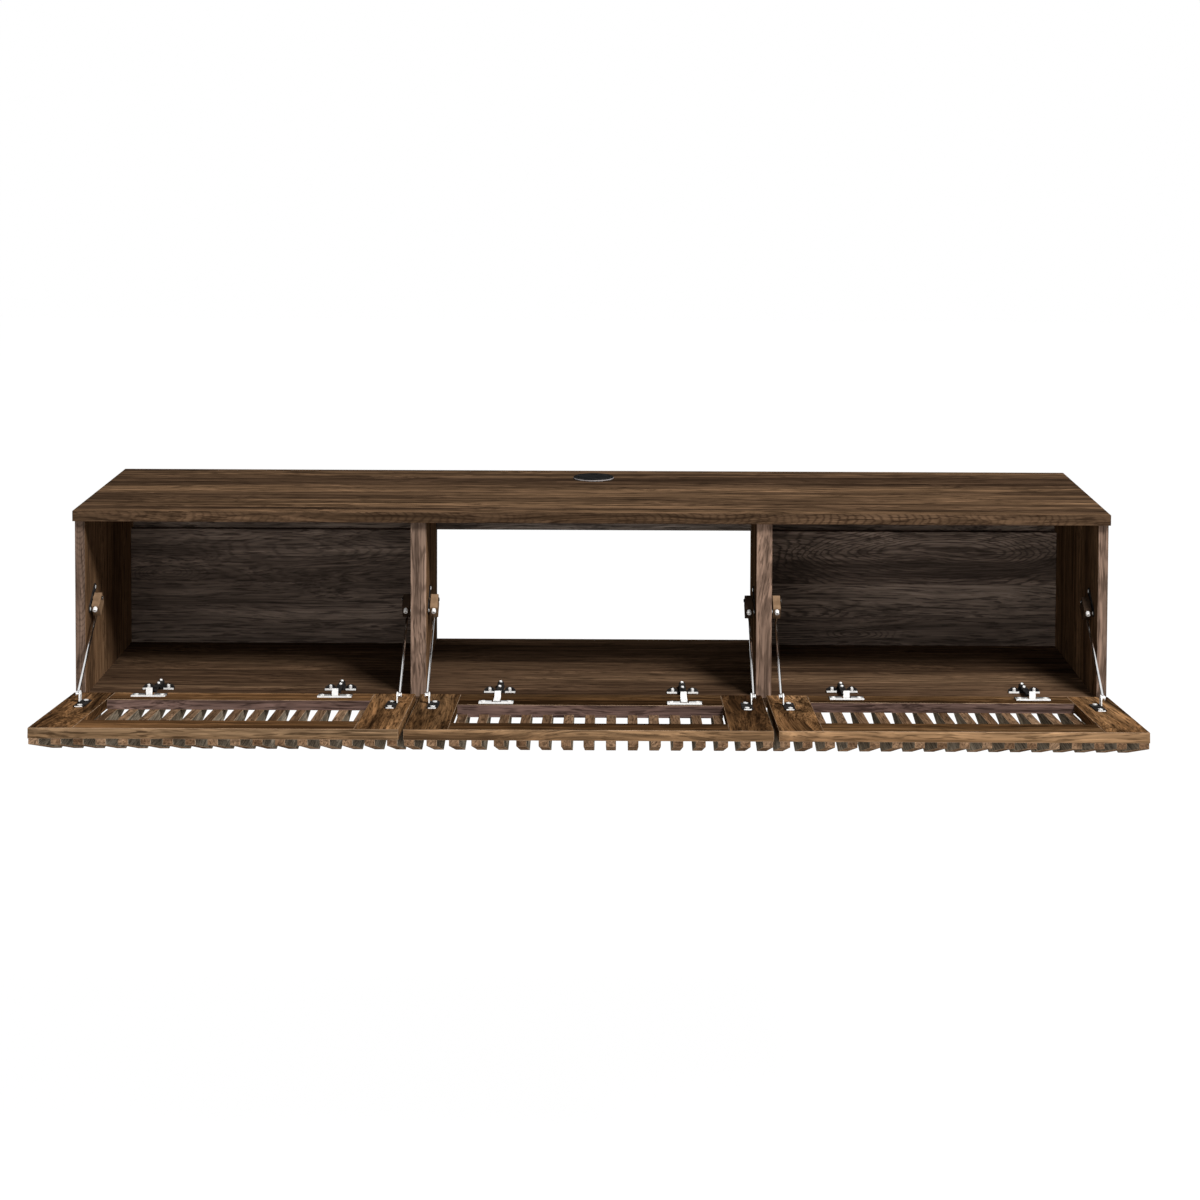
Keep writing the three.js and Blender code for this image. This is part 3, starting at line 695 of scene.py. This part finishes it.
# %% Slat tree
def new_tree(name, inputs):
    """Begins a Geometry Nodes tree with named inputs, and returns the sockets that give them."""
    tree = bpy.data.node_groups.new(name, "GeometryNodeTree")
    tree.interface.new_socket("Geometry", in_out="OUTPUT", socket_type="NodeSocketGeometry")
    for label, (kind, value) in inputs.items():
        socket = tree.interface.new_socket(label, in_out="INPUT", socket_type="NodeSocket" + kind)
        if value is not None:
            socket.default_value = value
    trees.append(tree)
    return add_node("NodeGroupInput").outputs


def end_tree(instances, *coats):
    """Makes the instances real, sets the material of each coat where it applies, and ends the tree."""
    flow = add_node("GeometryNodeRealizeInstances", {"Geometry": instances}).outputs[0]
    for coat in coats:
        flow = add_node("GeometryNodeSetMaterial", {"Geometry": flow, **coat}).outputs[0]
    add_node("NodeGroupOutput", {0: flow})
    print(trees[-1].name, "tree has", len(trees[-1].nodes), "nodes")
    return trees[-1]


def parts_of_place():
    return parts_of(add_node("GeometryNodeInputPosition").outputs[0])


def run_tree(tree, mesh, values):
    """Runs a tree on a mesh with its inputs set by identifier, and returns the plain result."""
    carrier = bpy.data.objects.new(tree.name + "_carrier", mesh)
    bpy.context.scene.collection.objects.link(carrier)
    modifier = carrier.modifiers.new(tree.name, "NODES")
    modifier.node_group = tree
    identifiers = {s.name: s.identifier for s in tree.interface.items_tree if s.in_out == "INPUT"}
    for label, value in values.items():
        modifier[identifiers[label]] = value
    evaluated = carrier.evaluated_get(bpy.context.evaluated_depsgraph_get())
    result = bpy.data.meshes.new_from_object(evaluated)
    carrier.modifiers.remove(modifier)
    bpy.data.objects.remove(carrier)
    return result


def make_slat_tree():
    inputs = {
        "Slat count": ("Int", 17),
        "Slat pitch": ("Float", 0.0329),
        "Slat width": ("Float", 0.015),
        "Slat length": ("Float", 0.2935),
        "Edge thickness": ("Float", 0.0085),
        "Ridge thickness": ("Float", 0.043),
        "Root depth": ("Float", 0.0005),
        "Face wood": ("Material", None),
        "Side wood": ("Material", None),
    }
    given = new_tree("slat_row", inputs)
    pitch, length, edge = given["Slat pitch"], given["Slat length"], given["Edge thickness"]
    start = times(less(given["Slat count"], 1.0), pitch, -0.5)
    line = {"Count": given["Slat count"], "Start Location": vector_of(x=start), "Offset": vector_of(x=pitch)}
    row = add_node("GeometryNodeMeshLine", line, mode="OFFSET").outputs["Mesh"]
    cube = {
        "Size": vector_of(x=given["Slat width"], y=1.0, z=length),
        "Vertices X": 2,
        "Vertices Y": 2,
        "Vertices Z": 3,
    }
    bar = add_node("GeometryNodeMeshCube", cube).outputs["Mesh"]
    where = parts_of_place()
    from_middle = arithmetic("DIVIDE", arithmetic("ABSOLUTE", where["Z"]), times(length, 0.5))
    swell = times(less(given["Ridge thickness"], edge), less(1.0, from_middle))
    is_face = arithmetic("LESS_THAN", where["Y"], 0.0)
    back = times(less(1.0, is_face), given["Root depth"])
    deep = less(back, times(is_face, total(edge, swell)))
    place = vector_of(x=where["X"], y=deep, z=where["Z"])
    shaped = add_node("GeometryNodeSetPosition", {"Geometry": bar, "Position": place}).outputs[0]
    placed = add_node("GeometryNodeInstanceOnPoints", {"Points": row, "Instance": shaped}).outputs[0]
    normal = parts_of(add_node("GeometryNodeInputNormal").outputs[0])
    is_side = arithmetic("GREATER_THAN", arithmetic("ABSOLUTE", normal["X"]), 0.9)
    sides = {"Selection": is_side, "Material": given["Side wood"]}
    return end_tree(placed, {"Material": given["Face wood"]}, sides)


slat_tree = make_slat_tree()

# %% Slats on each door
slat_side = walnut("slat_side_walnut", "along_y", (2.6, 1.2, 0.5), SLAT_SIDE_TONES, 0.2, depth=0.35)
for number, name in enumerate(DOOR_MIDDLES):
    wood = walnut(name + "_slat_walnut", "along_y", (3.1 + 1.3 * number, 0.2, 0.7), SLAT_TONES, 0.25)
    values = {"Face wood": wood, "Side wood": slat_side, "Slat count": 17, "Slat pitch": 0.0329}
    row_mesh = run_tree(slat_tree, bpy.data.meshes.new("slats"), values)
    row_mesh.materials.append(painted_highlight_edge)
    middle = Matrix.Translation((0, OUTER_FACE, DOOR_FOOT + DOOR_HEIGHT / 2)) @ Matrix.Scale(1 / MM, 4)
    row_mesh.transform(door_matrix(name) @ middle)
    row_mesh.name = name + "_door_slats"
    piece = dress(name + "_door_slats", row_mesh, [], name + "_door", (), "walnut_door", 0.5, 1)
    piece.modifiers["rounded_edges"].material = len(row_mesh.materials) - 1
    print(piece.name, len(row_mesh.polygons), "faces")

# %% [markdown]
# Screws repeat too. One tree puts a domed head with a cross recess on every point that it is given, turned
# to face along the point's own direction and spun by a seeded amount, as a hand leaves them.

# %% Screw tree
def make_screw_tree():
    inputs = {
        "Points": ("Geometry", None),
        "Head diameter": ("Float", 0.008),
        "Head height": ("Float", 0.002),
        "Dome height": ("Float", 0.0006),
        "Recess length": ("Float", 0.005),
        "Recess width": ("Float", 0.001),
        "Spin seed": ("Int", 3),
        "Metal": ("Material", None),
    }
    given = new_tree("screw_heads", inputs)
    length, width, height = given["Recess length"], given["Recess width"], given["Head height"]
    radius = times(given["Head diameter"], 0.5)
    cylinder = {"Vertices": 24, "Side Segments": 1, "Fill Segments": 4, "Radius": radius, "Depth": height}
    disc = add_node("GeometryNodeMeshCylinder", cylinder, fill_type="TRIANGLE_FAN").outputs["Mesh"]
    where = parts_of_place()
    across = total(times(where["X"], where["X"]), times(where["Y"], where["Y"]))
    share = arithmetic("DIVIDE", across, times(radius, radius))
    rise = times(less(1.0, share), given["Dome height"])
    lift = times(arithmetic("GREATER_THAN", where["Z"], 0.0), rise)
    domed = add_node("GeometryNodeSetPosition", {"Geometry": disc, "Offset": vector_of(z=lift)})
    recessed = add_node("GeometryNodeMeshBoolean", {"Mesh 1": domed.outputs[0]}, operation="DIFFERENCE")
    for size in ({"x": length, "y": width}, {"y": length, "x": width}):
        bar = add_node("GeometryNodeMeshCube", {"Size": vector_of(**size, z=height)}).outputs["Mesh"]
        move = {"Geometry": bar, "Translation": vector_of(z=times(height, 0.75))}
        plug(recessed.inputs["Mesh 2"], add_node("GeometryNodeTransform", move).outputs[0])
    move = {"Geometry": recessed.outputs["Mesh"], "Translation": vector_of(z=times(height, 0.5))}
    seated = add_node("GeometryNodeTransform", move).outputs[0]
    facing = add_node("GeometryNodeInputNamedAttribute", {"Name": "facing"}, data_type="FLOAT_VECTOR")
    vector = {"Vector": facing.outputs["Attribute"]}
    aligned = add_node("FunctionNodeAlignRotationToVector", vector, axis="Z").outputs[0]
    spin_range = {2: 0.0, 3: 6.28, "Seed": given["Spin seed"]}
    spin = add_node("FunctionNodeRandomValue", spin_range, data_type="FLOAT").outputs[1]
    by = add_node("FunctionNodeEulerToRotation", {"Euler": vector_of(z=spin)}).outputs[0]
    turns = {"Rotation": aligned, "Rotate By": by}
    spun = add_node("FunctionNodeRotateRotation", turns, rotation_space="LOCAL").outputs[0]
    on_points = {"Points": given["Points"], "Instance": seated, "Rotation": spun}
    placed = add_node("GeometryNodeInstanceOnPoints", on_points).outputs[0]
    return end_tree(placed, {"Material": given["Metal"]})


screw_tree = make_screw_tree()


def add_screws(name, body, slot, places, diameter, height, seed):
    """Screw heads at (place, direction) pairs in metres, as one piece that rides on a body."""
    points = bpy.data.meshes.new(name + "_points")
    points.from_pydata([p for p, _ in places], [], [])
    facings = points.attributes.new("facing", "FLOAT_VECTOR", "POINT")
    facings.data.foreach_set("vector", [c for _, d in places for c in d])
    values = {
        "Head diameter": diameter * MM,
        "Head height": height * MM * 0.7,
        "Dome height": height * MM * 0.3,
        "Recess length": diameter * 0.6 * MM,
        "Recess width": diameter * 0.14 * MM,
        "Spin seed": seed,
        "Metal": screw_steel,
    }
    heads = run_tree(screw_tree, points, values)
    heads.name = name
    return dress(name, heads, [], body, (), slot, smooth=30)


# %% [markdown]
# The grommet is a black plastic sleeve with a broad round rim, and a lid that drops into it, with a notch
# for the cables. The sleeve is a turned shape. The lid is a disc with the notch in its outline, and its
# edge is eased.

# %% Cable grommet and its lid
GROMMET = Vector((0.0, CARCASS_DEPTH - 77.0, 315.0))
SLEEVE = [
    (24.0, -14.0), (30.0, -14.0), (30.0, 0.3), (34.4, 0.3), (34.9, 0.8), (34.4, 2.4), (32.6, 3.5),
    (27.6, 3.5), (27.0, 3.2), (27.0, 0.7), (24.0, 0.7), (24.0, -14.0),
]
LIP_RADIUS, LIP_HEIGHT = 33.9, 2.0
LID_RADIUS, LID_FOOT, LID_TOP, NOTCH_ANGLE = 26.4, 1.0, 3.45, 30.8
NOTCH = [(7.0, 17.5), (4.9, 15.4), (2.0, 14.6), (-2.0, 14.6), (-4.9, 15.4), (-7.0, 17.5)]

shape = bmesh.new()
add_turned(shape, SLEEVE, 64, Matrix.Translation(GROMMET))
# The rounded outer lip catches the light in the photograph, so it is a lighter grey
for face in shape.faces:
    middle = face.calc_center_median() - GROMMET
    if middle.xy.length > LIP_RADIUS and middle.z < LIP_HEIGHT:
        face.material_index = 1
bmesh.ops.remove_doubles(shape, verts=shape.verts, dist=1e-4)
finishes = [black_plastic, painted_highlight_plastic]
make_piece("grommet_ring", shape, CABINET, finishes, "cabinet", ["cable_grommet"], "black_plastic", smooth=50)

shape = bmesh.new()
rim = arc((0, 0), LID_RADIUS, 90 + NOTCH_ANGLE / 2, 450 - NOTCH_ANGLE / 2, 48)
add_outline(shape, rim + NOTCH, LID_FOOT, LID_TOP, Matrix.Translation(GROMMET))
make_piece("grommet_lid", shape, CABINET, [black_plastic], "cap", ["grommet_cap"], "black_plastic", 0.5, 3)
print("grommet at", [round(v, 3) for v in at(*GROMMET)])

# %% [markdown]
# A concealed hinge has two halves. The half on the cabinet floor is a plate with two wings that are
# screwed down 32 mm apart, and on its spine sits a folded steel arm with its two adjusting screws. The
# half on the door is a flange with a round cup let into the wood. The end of a bright link stands in its
# mouth, where the arm goes in when the door is closed. Front lips are bright, and tops, recesses and the
# cup are painted black: painted shade and dark reflection on the steel.

# %% Hinge arms on the cabinet floor
# Lips are bright steel, and tops and recesses black: painted shade and dark reflection on the steel
BRIGHT, DARK = 0, 1
SETBACK = {"left": 33, "centre": 22, "right": 33}
REACH = {"left": 8, "centre": -0.5, "right": 8}
WING_INNER, WING_OUTER, WING_RUN, LIP_RUN = 8.5, 25, 9, 0.95
PLATE_FOOT, PLATE_TOP, SPINE_HALF, ARM_END = 0.05, 3.3, 6, 61
PLATE_SCREW = 16
# A black boss on a wing behind its screw, painted shade, and the folded arm, as (x, height) points
SHADE_BOSS = [(25, 2.6), (8.5, 2.6), (8.5, 5.5), (13.12, 8.2), (19.2, 8.2), (25, 4.6)]
FOLD = [
    (-5, 3.2), (-5, 7.4), (-4.4, 8.6), (-3.2, 9.2), (3.2, 9.2), (4.4, 8.6), (5, 7.4), (5, 3.2),
    (3.8, 3.2), (3.8, 7.8), (-3.8, 7.8), (-3.8, 3.2),
]
NOSE_HALF, TIP_HALF = 4.8, 5.0
SCREW_RADIUS, SCREW_FOOT = 2.4, 7.9


def hinge_arm(name, side, x):
    setback, reach = SETBACK[name], REACH[name]
    shape = bmesh.new()
    on_floor = Matrix.Translation((x, 0, BOARD)) @ ACROSS
    low, top = BOARD + PLATE_FOOT, BOARD + PLATE_TOP
    for sign in (-1, 1):
        wing = sorted((x + sign * WING_INNER, x + sign * WING_OUTER))
        add_block(shape, wing, (setback + 0.9, setback + WING_RUN), (low, top - 0.2), DARK)
        add_block(shape, wing, (setback, setback + LIP_RUN), (BOARD + 0.5, top), BRIGHT)
        boss = [(sign * across, height) for across, height in SHADE_BOSS]
        add_outline(shape, boss, setback + 6.8, setback + 8.8, on_floor, DARK)
    add_block(shape, (x - WING_INNER, x + WING_INNER), (setback + 3, setback + WING_RUN), (low, top), DARK)
    add_block(shape, (x - SPINE_HALF, x + SPINE_HALF), (setback + WING_RUN, ARM_END), (low, top), DARK)
    add_outline(shape, FOLD, setback - 2, ARM_END, on_floor, DARK)
    nose = rounded_outline((x - NOSE_HALF, x + NOSE_HALF), (1, setback), 0.4, 3)
    add_outline(shape, nose, BOARD + 7.4, BOARD + 9.8, None, DARK)
    if reach > 0:
        # The end of the arm reaches into the cup when the door is closed, and is bent down behind it
        tip_x = (x - TIP_HALF, x + TIP_HALF)
        tip = rounded_outline(tip_x, (-reach, 1.9), 0.8, 3)
        add_outline(shape, tip, BOARD + 9.5, BOARD + 12.05, None, DARK)
        bend = rounded_outline(tip_x, (BOARD - 0.8, BOARD + 9.6), 0.6, 3)
        add_outline(shape, bend, 0.2, 1.7, FACING["-y"], DARK)
    for y, high in ((setback + 5, 11.6), (57, 11.2)):
        head = [(0, SCREW_FOOT), (SCREW_RADIUS, SCREW_FOOT), (SCREW_RADIUS, high - 0.5)]
        head += [(SCREW_RADIUS - 0.4, high), (1.3, high), (1.1, high - 1.1), (0, high - 1.1)]
        add_turned(shape, head, 20, Matrix.Translation((x, y, BOARD)), BRIGHT)
    piece_name, nodes = f"{name}_{side}_hinge_plate", [f"{name}_{side}_hinge_arm"]
    return make_piece(piece_name, shape, CABINET, [bright_steel, painted_shade_steel], "cabinet", nodes, "chrome", 0.2)


plate_screws = []
for name, middle in DOOR_MIDDLES.items():
    for side, sign in (("left", -1), ("right", 1)):
        x = middle + sign * HINGE_X
        made = hinge_arm(name, side, x)
        for offset in (-PLATE_SCREW, PLATE_SCREW):
            plate_screws.append((at(x + offset, SETBACK[name] + 4.5, BOARD + PLATE_TOP - 0.1), (0, 0, 1)))
add_screws("hinge_plate_screws", "cabinet", "chrome", plate_screws, 5.4, 5.6, seed=5)
print(made.name, "and 5 more hinge plates,", len(plate_screws), "screws")

# %% Hinge cups on the doors
# Material 2 paints the cup and the flange's hinge end black, for the shade and dark reflections there
PLATED, PAINTED_SHADE_BLACK = 1, 2
FLANGE_HALF, FLANGE_FOOT, FLANGE_TOP, FLANGE_RUN = 27, 0.3, 2.6, 22
MOUTH_HALF, MOUTH_END, DARK_RUN, FRONT_LIP = 7.0, 18.25, 7, 21.1
CUP_MIDDLE, CUP_SCREW = 8, 20.5
CUP = [
    (0, -11.5), (15.5, -11.5), (17.5, -9.5), (17.5, 0.1), (17.0, 0.2), (16.2, 0.2), (16.2, -9.0),
    (14.6, -10.4), (0, -10.4),
]
LINK_HALF, LINK_RUN, STRAP_HALF = 5.0, (27.4, 28.9), 5.2
# How far a link reaches into the cup and stands off the door's inner face
LINK_SPANS = {"left": (-9.0, 13.0), "centre": (0.4, 10.4), "right": (-9.0, 13.0)}


def on_door(x):
    """X stays across the door, an outline's Y runs up the door and its Z stands off the inner face."""
    return Matrix.Translation((x, INNER_FACE, DOOR_FOOT)) @ ACROSS


def off_door(name):
    """The direction out of a door's inner face."""
    return (door_matrix(name).to_3x3() @ Vector((0, 1, 0))).normalized()


def hinge_cup(name, side, x):
    start = CUP_START[name]
    lip, end = start + FRONT_LIP, start + FLANGE_RUN
    shape = bmesh.new()
    face = on_door(x)

    def add_plate(half_x, run, top, material):
        corners = [(half_x[0], run[0]), (half_x[1], run[0]), (half_x[1], run[1]), (half_x[0], run[1])]
        add_outline(shape, corners, FLANGE_FOOT, top, face, material)

    for run, material in (((start, start + DARK_RUN), PAINTED_SHADE_BLACK), ((start + DARK_RUN, lip), PLATED)):
        add_plate((-FLANGE_HALF, -MOUTH_HALF), run, FLANGE_TOP, material)
        add_plate((MOUTH_HALF, FLANGE_HALF), run, FLANGE_TOP, material)
    add_plate((-MOUTH_HALF, MOUTH_HALF), (start + MOUTH_END, lip), FLANGE_TOP, PLATED)
    add_plate((-FLANGE_HALF, FLANGE_HALF), (lip, end), FLANGE_TOP + 0.1, BRIGHT)
    add_turned(shape, CUP, 48, face @ Matrix.Translation((0, start + CUP_MIDDLE, 0)), PAINTED_SHADE_BLACK)
    link_y = [INNER_FACE + off for off in LINK_SPANS[name]]
    link = rounded_outline((x - LINK_HALF, x + LINK_HALF), link_y, 0.6, 3)
    add_outline(shape, link, *(DOOR_FOOT + run for run in LINK_RUN), None, BRIGHT)
    if name == "centre":
        # The centre door's cup lies further up the door than its link, and a strap joins the two
        add_plate((-STRAP_HALF, STRAP_HALF), (28.5, start + 1.5), 1.9, BRIGHT)
    piece_name, finishes = f"{name}_{side}_hinge_flange", [bright_steel, nickel, painted_shade_steel]
    nodes = [f"{name}_door_{side}_hinge_cup"]
    return make_piece(piece_name, shape, door_matrix(name), finishes, name + "_door", nodes, "chrome", 0.2)


for name in DOOR_MIDDLES:
    flange_screws = []
    for side, sign in (("left", -1), ("right", 1)):
        x = sign * HINGE_X
        made = hinge_cup(name, side, x)
        for offset in (-CUP_SCREW, CUP_SCREW):
            spot = on_door(x + offset) @ Vector((0, CUP_START[name] + FLANGE_RUN / 2, FLANGE_TOP + 0.05))
            flange_screws.append((door_matrix(name) @ spot, off_door(name)))
    add_screws(name + "_cup_screws", name + "_door", "chrome", flange_screws, 7.0, 1.0, seed=8)
print(made.name, "and 5 more hinge cups")

# %% [markdown]
# Each door hangs on two friction stays. A bent steel bracket on the door carries a pin, the chrome rod
# turns on it through a flattened eye, and the rod slides through a brown guide that pinches it. The guide
# swivels on a slim plate screwed to the cabinet's side. Rod, guide and plate are built along the rod and
# then turned to its slope. The guides on right-hand walls are darker, as they look in the photograph: a
# painted shade, for the shadow that their walls cast on them.

# %% Stays
PIVOT = (-91.03936, 43.03306)
ROD_SLOPE, GUIDE_RUN = math.radians(36.664445), 181.26262
# Places along the door and off its inner face, and the distance of each piece from the wall that it is near
PIN_RUN, PIN_OFF, EAR = 82.5, 12.8, 7
ROD_OFF, ROD_RADIUS, BRACKET_OFF, BRACKET_WIDTH = 9.0, 2.0, 11.6, 17
BRACKET_SCREWS, MOUNT_SCREW = (79, 121), 23
SWIVEL = 14
GUIDE_PLASTIC = {"left": tan_plastic, "right": painted_shade_plastic}
PLASTIC, SHINY, BLACK = range(3)
ROD_EYE = [
    (2.3, -1.7), (2.3, 1.7), (2.7, 2), (4.2, 2), (4.75, 1.4), (4.75, -1.4), (4.2, -2), (2.7, -2), (2.3, -1.7),
]
KNOB = [
    (0, -5.6), (1.1, -5.6), (1.3, -7), (3.0, -7), (3.5, -6.4), (3.5, -1.4), (2.8, -0.9), (2.8, 0.3), (0, 0.3),
]


def spans(inward, near, far):
    return sorted((inward * near, inward * far))


def add_rivet(shape, radius, span, place):
    """A short pin along Z with a fine chamfer at each end."""
    low, high = span
    inner = radius * 0.85
    pin = [(0, low), (inner, low), (radius, low + 0.15), (radius, high - 0.15), (inner, high), (0, high)]
    add_turned(shape, pin, 24, place, BRIGHT)


def stay_bracket(name, side, wall, inward):
    shape = bmesh.new()
    # An upright ear with a round top, as (off the face, along the door) points
    ear = [(0.3, PIN_RUN - EAR), (0.3, PIN_RUN + EAR)]
    ear += [(off, run) for run, off in arc((PIN_RUN, 11), EAR, 0, 180, 8)]
    corner = Matrix.Translation((wall, INNER_FACE, DOOR_FOOT))
    add_outline(shape, ear, *spans(inward, BRACKET_OFF, BRACKET_OFF + 1.5), corner @ SIDEWAYS, BRIGHT)
    # The base is painted black, for the shade and dark reflections on it, and its lip stays bright
    base = spans(inward, BRACKET_OFF, BRACKET_OFF + BRACKET_WIDTH)
    add_outline(shape, rounded_outline(base, (71, 128.2), 4.0), 0.3, 1.7, on_door(wall), DARK)
    lip = rounded_outline((base[0] + 2.5, base[1] - 2.5), (127.6, 129), 0.6)
    add_outline(shape, lip, 0.3, 1.8, on_door(wall), BRIGHT)
    place = corner @ Matrix.Translation((0, PIN_OFF, PIN_RUN)) @ FACING["x"]
    for radius, near, far in ((2.0, 5.7, 13.4), (3.5, 5.7, 6.7), (3.2, 13.1, 13.7)):
        add_rivet(shape, radius, spans(inward, near, far), place)
    piece_name, nodes = f"{name}_{side}_bracket", [f"{name}_door_{side}_stay_bracket"]
    finishes, body = [bright_steel, painted_shade_steel], name + "_door"
    return make_piece(piece_name, shape, door_matrix(name), finishes, body, nodes, "nickel_steel", 0.25)


def stay_matrix(wall):
    return CABINET @ Matrix.Translation((wall, *PIVOT)) @ Matrix.Rotation(ROD_SLOPE, 4, "X")


def stay_rod(name, side, wall, inward):
    shape = bmesh.new()
    add_turned(shape, [(radius, off + inward * ROD_OFF) for radius, off in ROD_EYE], 32, FACING["x"])
    bmesh.ops.remove_doubles(shape, verts=shape.verts, dist=1e-4)
    end = GUIDE_RUN + 21
    shank = [(0, 4.4), (1.7, 4.4), (ROD_RADIUS, 6.0), (ROD_RADIUS, end), (1.4, end + 1), (0, end + 1)]
    add_turned(shape, shank, 24, Matrix.Translation((inward * ROD_OFF, 0, 0)) @ FACING["y"])
    body, nodes = f"{name}_{side}_rod", [f"{name}_{side}_stay_rod"]
    return make_piece(body, shape, stay_matrix(wall), [chrome], body, nodes, "chrome")


def stay_guide(name, side, wall, inward):
    shape = bmesh.new()
    low = GUIDE_RUN - 22
    block = rounded_outline((low, GUIDE_RUN + 7), (-5, 20), 2.0, 3)
    add_outline(shape, block, *spans(inward, 4, 16), SIDEWAYS, PLASTIC)
    swivel = Matrix.Translation((0, GUIDE_RUN, SWIVEL)) @ FACING["x"]
    near, far = inward * 15.5, inward * 17.7
    cap = [(0, near), (3.0, near), (3.0, far - inward * 0.5), (2.4, far), (0, far)]
    add_turned(shape, cap, 24, swivel, BLACK)
    knob_place = Matrix.Translation((inward * 10, 0, 15.6)) @ FACING["y"]
    add_turned(shape, [(radius, low + run) for radius, run in KNOB], 28, knob_place, SHINY)
    add_disc(shape, 1.1, low - 6.3, low - 5.2, knob_place, 12, BLACK)
    # A small bright disc at the end of the black cap is a painted highlight
    add_disc(shape, 1.1, *spans(inward, 17.3, 18.0), swivel, 12, SHINY)
    finishes = [GUIDE_PLASTIC[side], bright_steel, black_plastic]
    body, nodes = f"{name}_{side}_guide", [f"{name}_{side}_stay_guide"]
    return make_piece(body, shape, stay_matrix(wall), finishes, body, nodes, "tan_plastic", 0.5)


def stay_mount(name, side, wall, inward):
    shape = bmesh.new()
    # The plate is painted black, for the shade and dark reflections on it
    plate = rounded_outline((GUIDE_RUN - 29, GUIDE_RUN + 29), (SWIVEL - 6, SWIVEL + 6), 5.9, 8)
    add_outline(shape, plate, *spans(inward, 0.3, 1.8), SIDEWAYS, 0)
    swivel = Matrix.Translation((0, GUIDE_RUN, SWIVEL)) @ FACING["x"]
    add_disc(shape, 3.0, *spans(inward, 1.5, 3.4), swivel, 24, 1)
    piece_name, nodes = f"{name}_{side}_mount_plate", [f"{name}_{side}_stay_mount"]
    finishes = [painted_shade_steel, GUIDE_PLASTIC[side]]
    return make_piece(piece_name, shape, stay_matrix(wall), finishes, "cabinet", nodes, "nickel_steel", 0.3)


mount_screws = []
for name, middle in DOOR_MIDDLES.items():
    bracket_screws = []
    for side, wall, inward in (("left", BAYS[name][0], 1), ("right", BAYS[name][1], -1)):
        stay_bracket(name, side, wall - middle, inward)
        for make in (stay_rod, stay_guide, stay_mount):
            make(name, side, wall, inward)
        for offset in (-MOUNT_SCREW, MOUNT_SCREW):
            spot = stay_matrix(wall) @ Vector((inward * 1.7, GUIDE_RUN + offset, SWIVEL))
            mount_screws.append((spot, (inward, 0, 0)))
        line = wall - middle + inward * (BRACKET_OFF + 9.25)
        for run in BRACKET_SCREWS:
            spot = door_matrix(name) @ on_door(line) @ Vector((0, run, 1.75))
            bracket_screws.append((spot, off_door(name)))
    add_screws(name + "_bracket_screws", name + "_door", "nickel_steel", bracket_screws, 7.5, 2.0, seed=11)
add_screws("mount_screws", "cabinet", "nickel_steel", mount_screws, 6.0, 0.95, seed=2)
print("6 stays,", len(mount_screws), "mount screws")

# %% [markdown]
# The stage is a plain pale floor well below the console, which hangs on a wall. To the camera and in
# reflections the floor is nearly pure white and keeps a soft shadow, and to the light it is plain pale
# paint. The world does the same, so the background is white without any more light on the wood.

# %% Floor and background
FLOOR_REACH, FLOOR_LEVEL = 14.0, -1.15
FLOOR_GLOW, WORLD_GLOW, BACKDROP = 0.96, 0.34, 1.0
WHITE, PAINT, THIN_PAINT = ((v, v, v, 1) for v in (1.0, 0.8, 0.12))


def seen(to_light, to_eye):
    """A mix that is one shader to the rays that carry light, and another to the camera and in reflections."""
    paths = add_node("ShaderNodeLightPath").outputs
    rays = [paths[f"Is {kind} Ray"] for kind in ("Camera", "Glossy", "Transmission")]
    is_seen = arithmetic("MAXIMUM", *rays)
    return add_node("ShaderNodeMixShader", {0: is_seen, 1: to_light, 2: to_eye}).outputs[0]


floor_material, _ = new_material("pale_floor")
paint, thin_paint = (add_node("ShaderNodeBsdfDiffuse", {"Color": c}).outputs[0] for c in (PAINT, THIN_PAINT))
glow = add_node("ShaderNodeEmission", {"Color": WHITE, "Strength": FLOOR_GLOW}).outputs[0]
shadowed = add_node("ShaderNodeAddShader", {0: glow, 1: thin_paint}).outputs[0]
finish_material(seen(paint, shadowed))
floor_mesh = bpy.data.meshes.new("studio_floor")
corners = [(x * FLOOR_REACH, y * FLOOR_REACH, FLOOR_LEVEL) for x, y in ((-1, -1), (1, -1), (1, 1), (-1, 1))]
floor_mesh.from_pydata(corners, [], [(0, 1, 2, 3)])
floor_mesh.materials.append(floor_material)
floor = bpy.data.objects.new("studio_floor", floor_mesh)
bpy.context.scene.collection.objects.link(floor)

world = bpy.data.worlds.new("studio")
bpy.context.scene.world = world
world.use_nodes = True
world.node_tree.nodes.clear()
trees.append(world.node_tree)
soft, backdrop = (
    add_node("ShaderNodeBackground", {"Color": WHITE, "Strength": strength}).outputs[0]
    for strength in (WORLD_GLOW, BACKDROP)
)
add_node("ShaderNodeOutputWorld", {"Surface": seen(soft, backdrop)})
print("floor at", FLOOR_LEVEL)

# %% [markdown]
# Soft boxes light it as a studio does: a large one in front, to the right and above, and a weaker one
# from the left to open the shadows in the bays.

# %% Lights
def soft_box(name, place, target, size, power):
    data = bpy.data.lights.new(name, "AREA")
    data.shape = "RECTANGLE"
    data.size, data.size_y = size
    data.energy = power
    lamp = bpy.data.objects.new(name, data)
    bpy.context.scene.collection.objects.link(lamp)
    lamp.location = place
    lamp.rotation_euler = (Vector(target) - Vector(place)).to_track_quat("-Z", "Y").to_euler()


soft_box("key_box", (2.1, -3.25, 3.85), (0, -0.25, -0.1), (1.3, 1.3), 370)
soft_box("fill_box", (-0.6, -4.2, 0.3), (0, -0.3, -0.1), (2.4, 1.2), 28)
bpy.context.scene.view_settings.view_transform = "Standard"
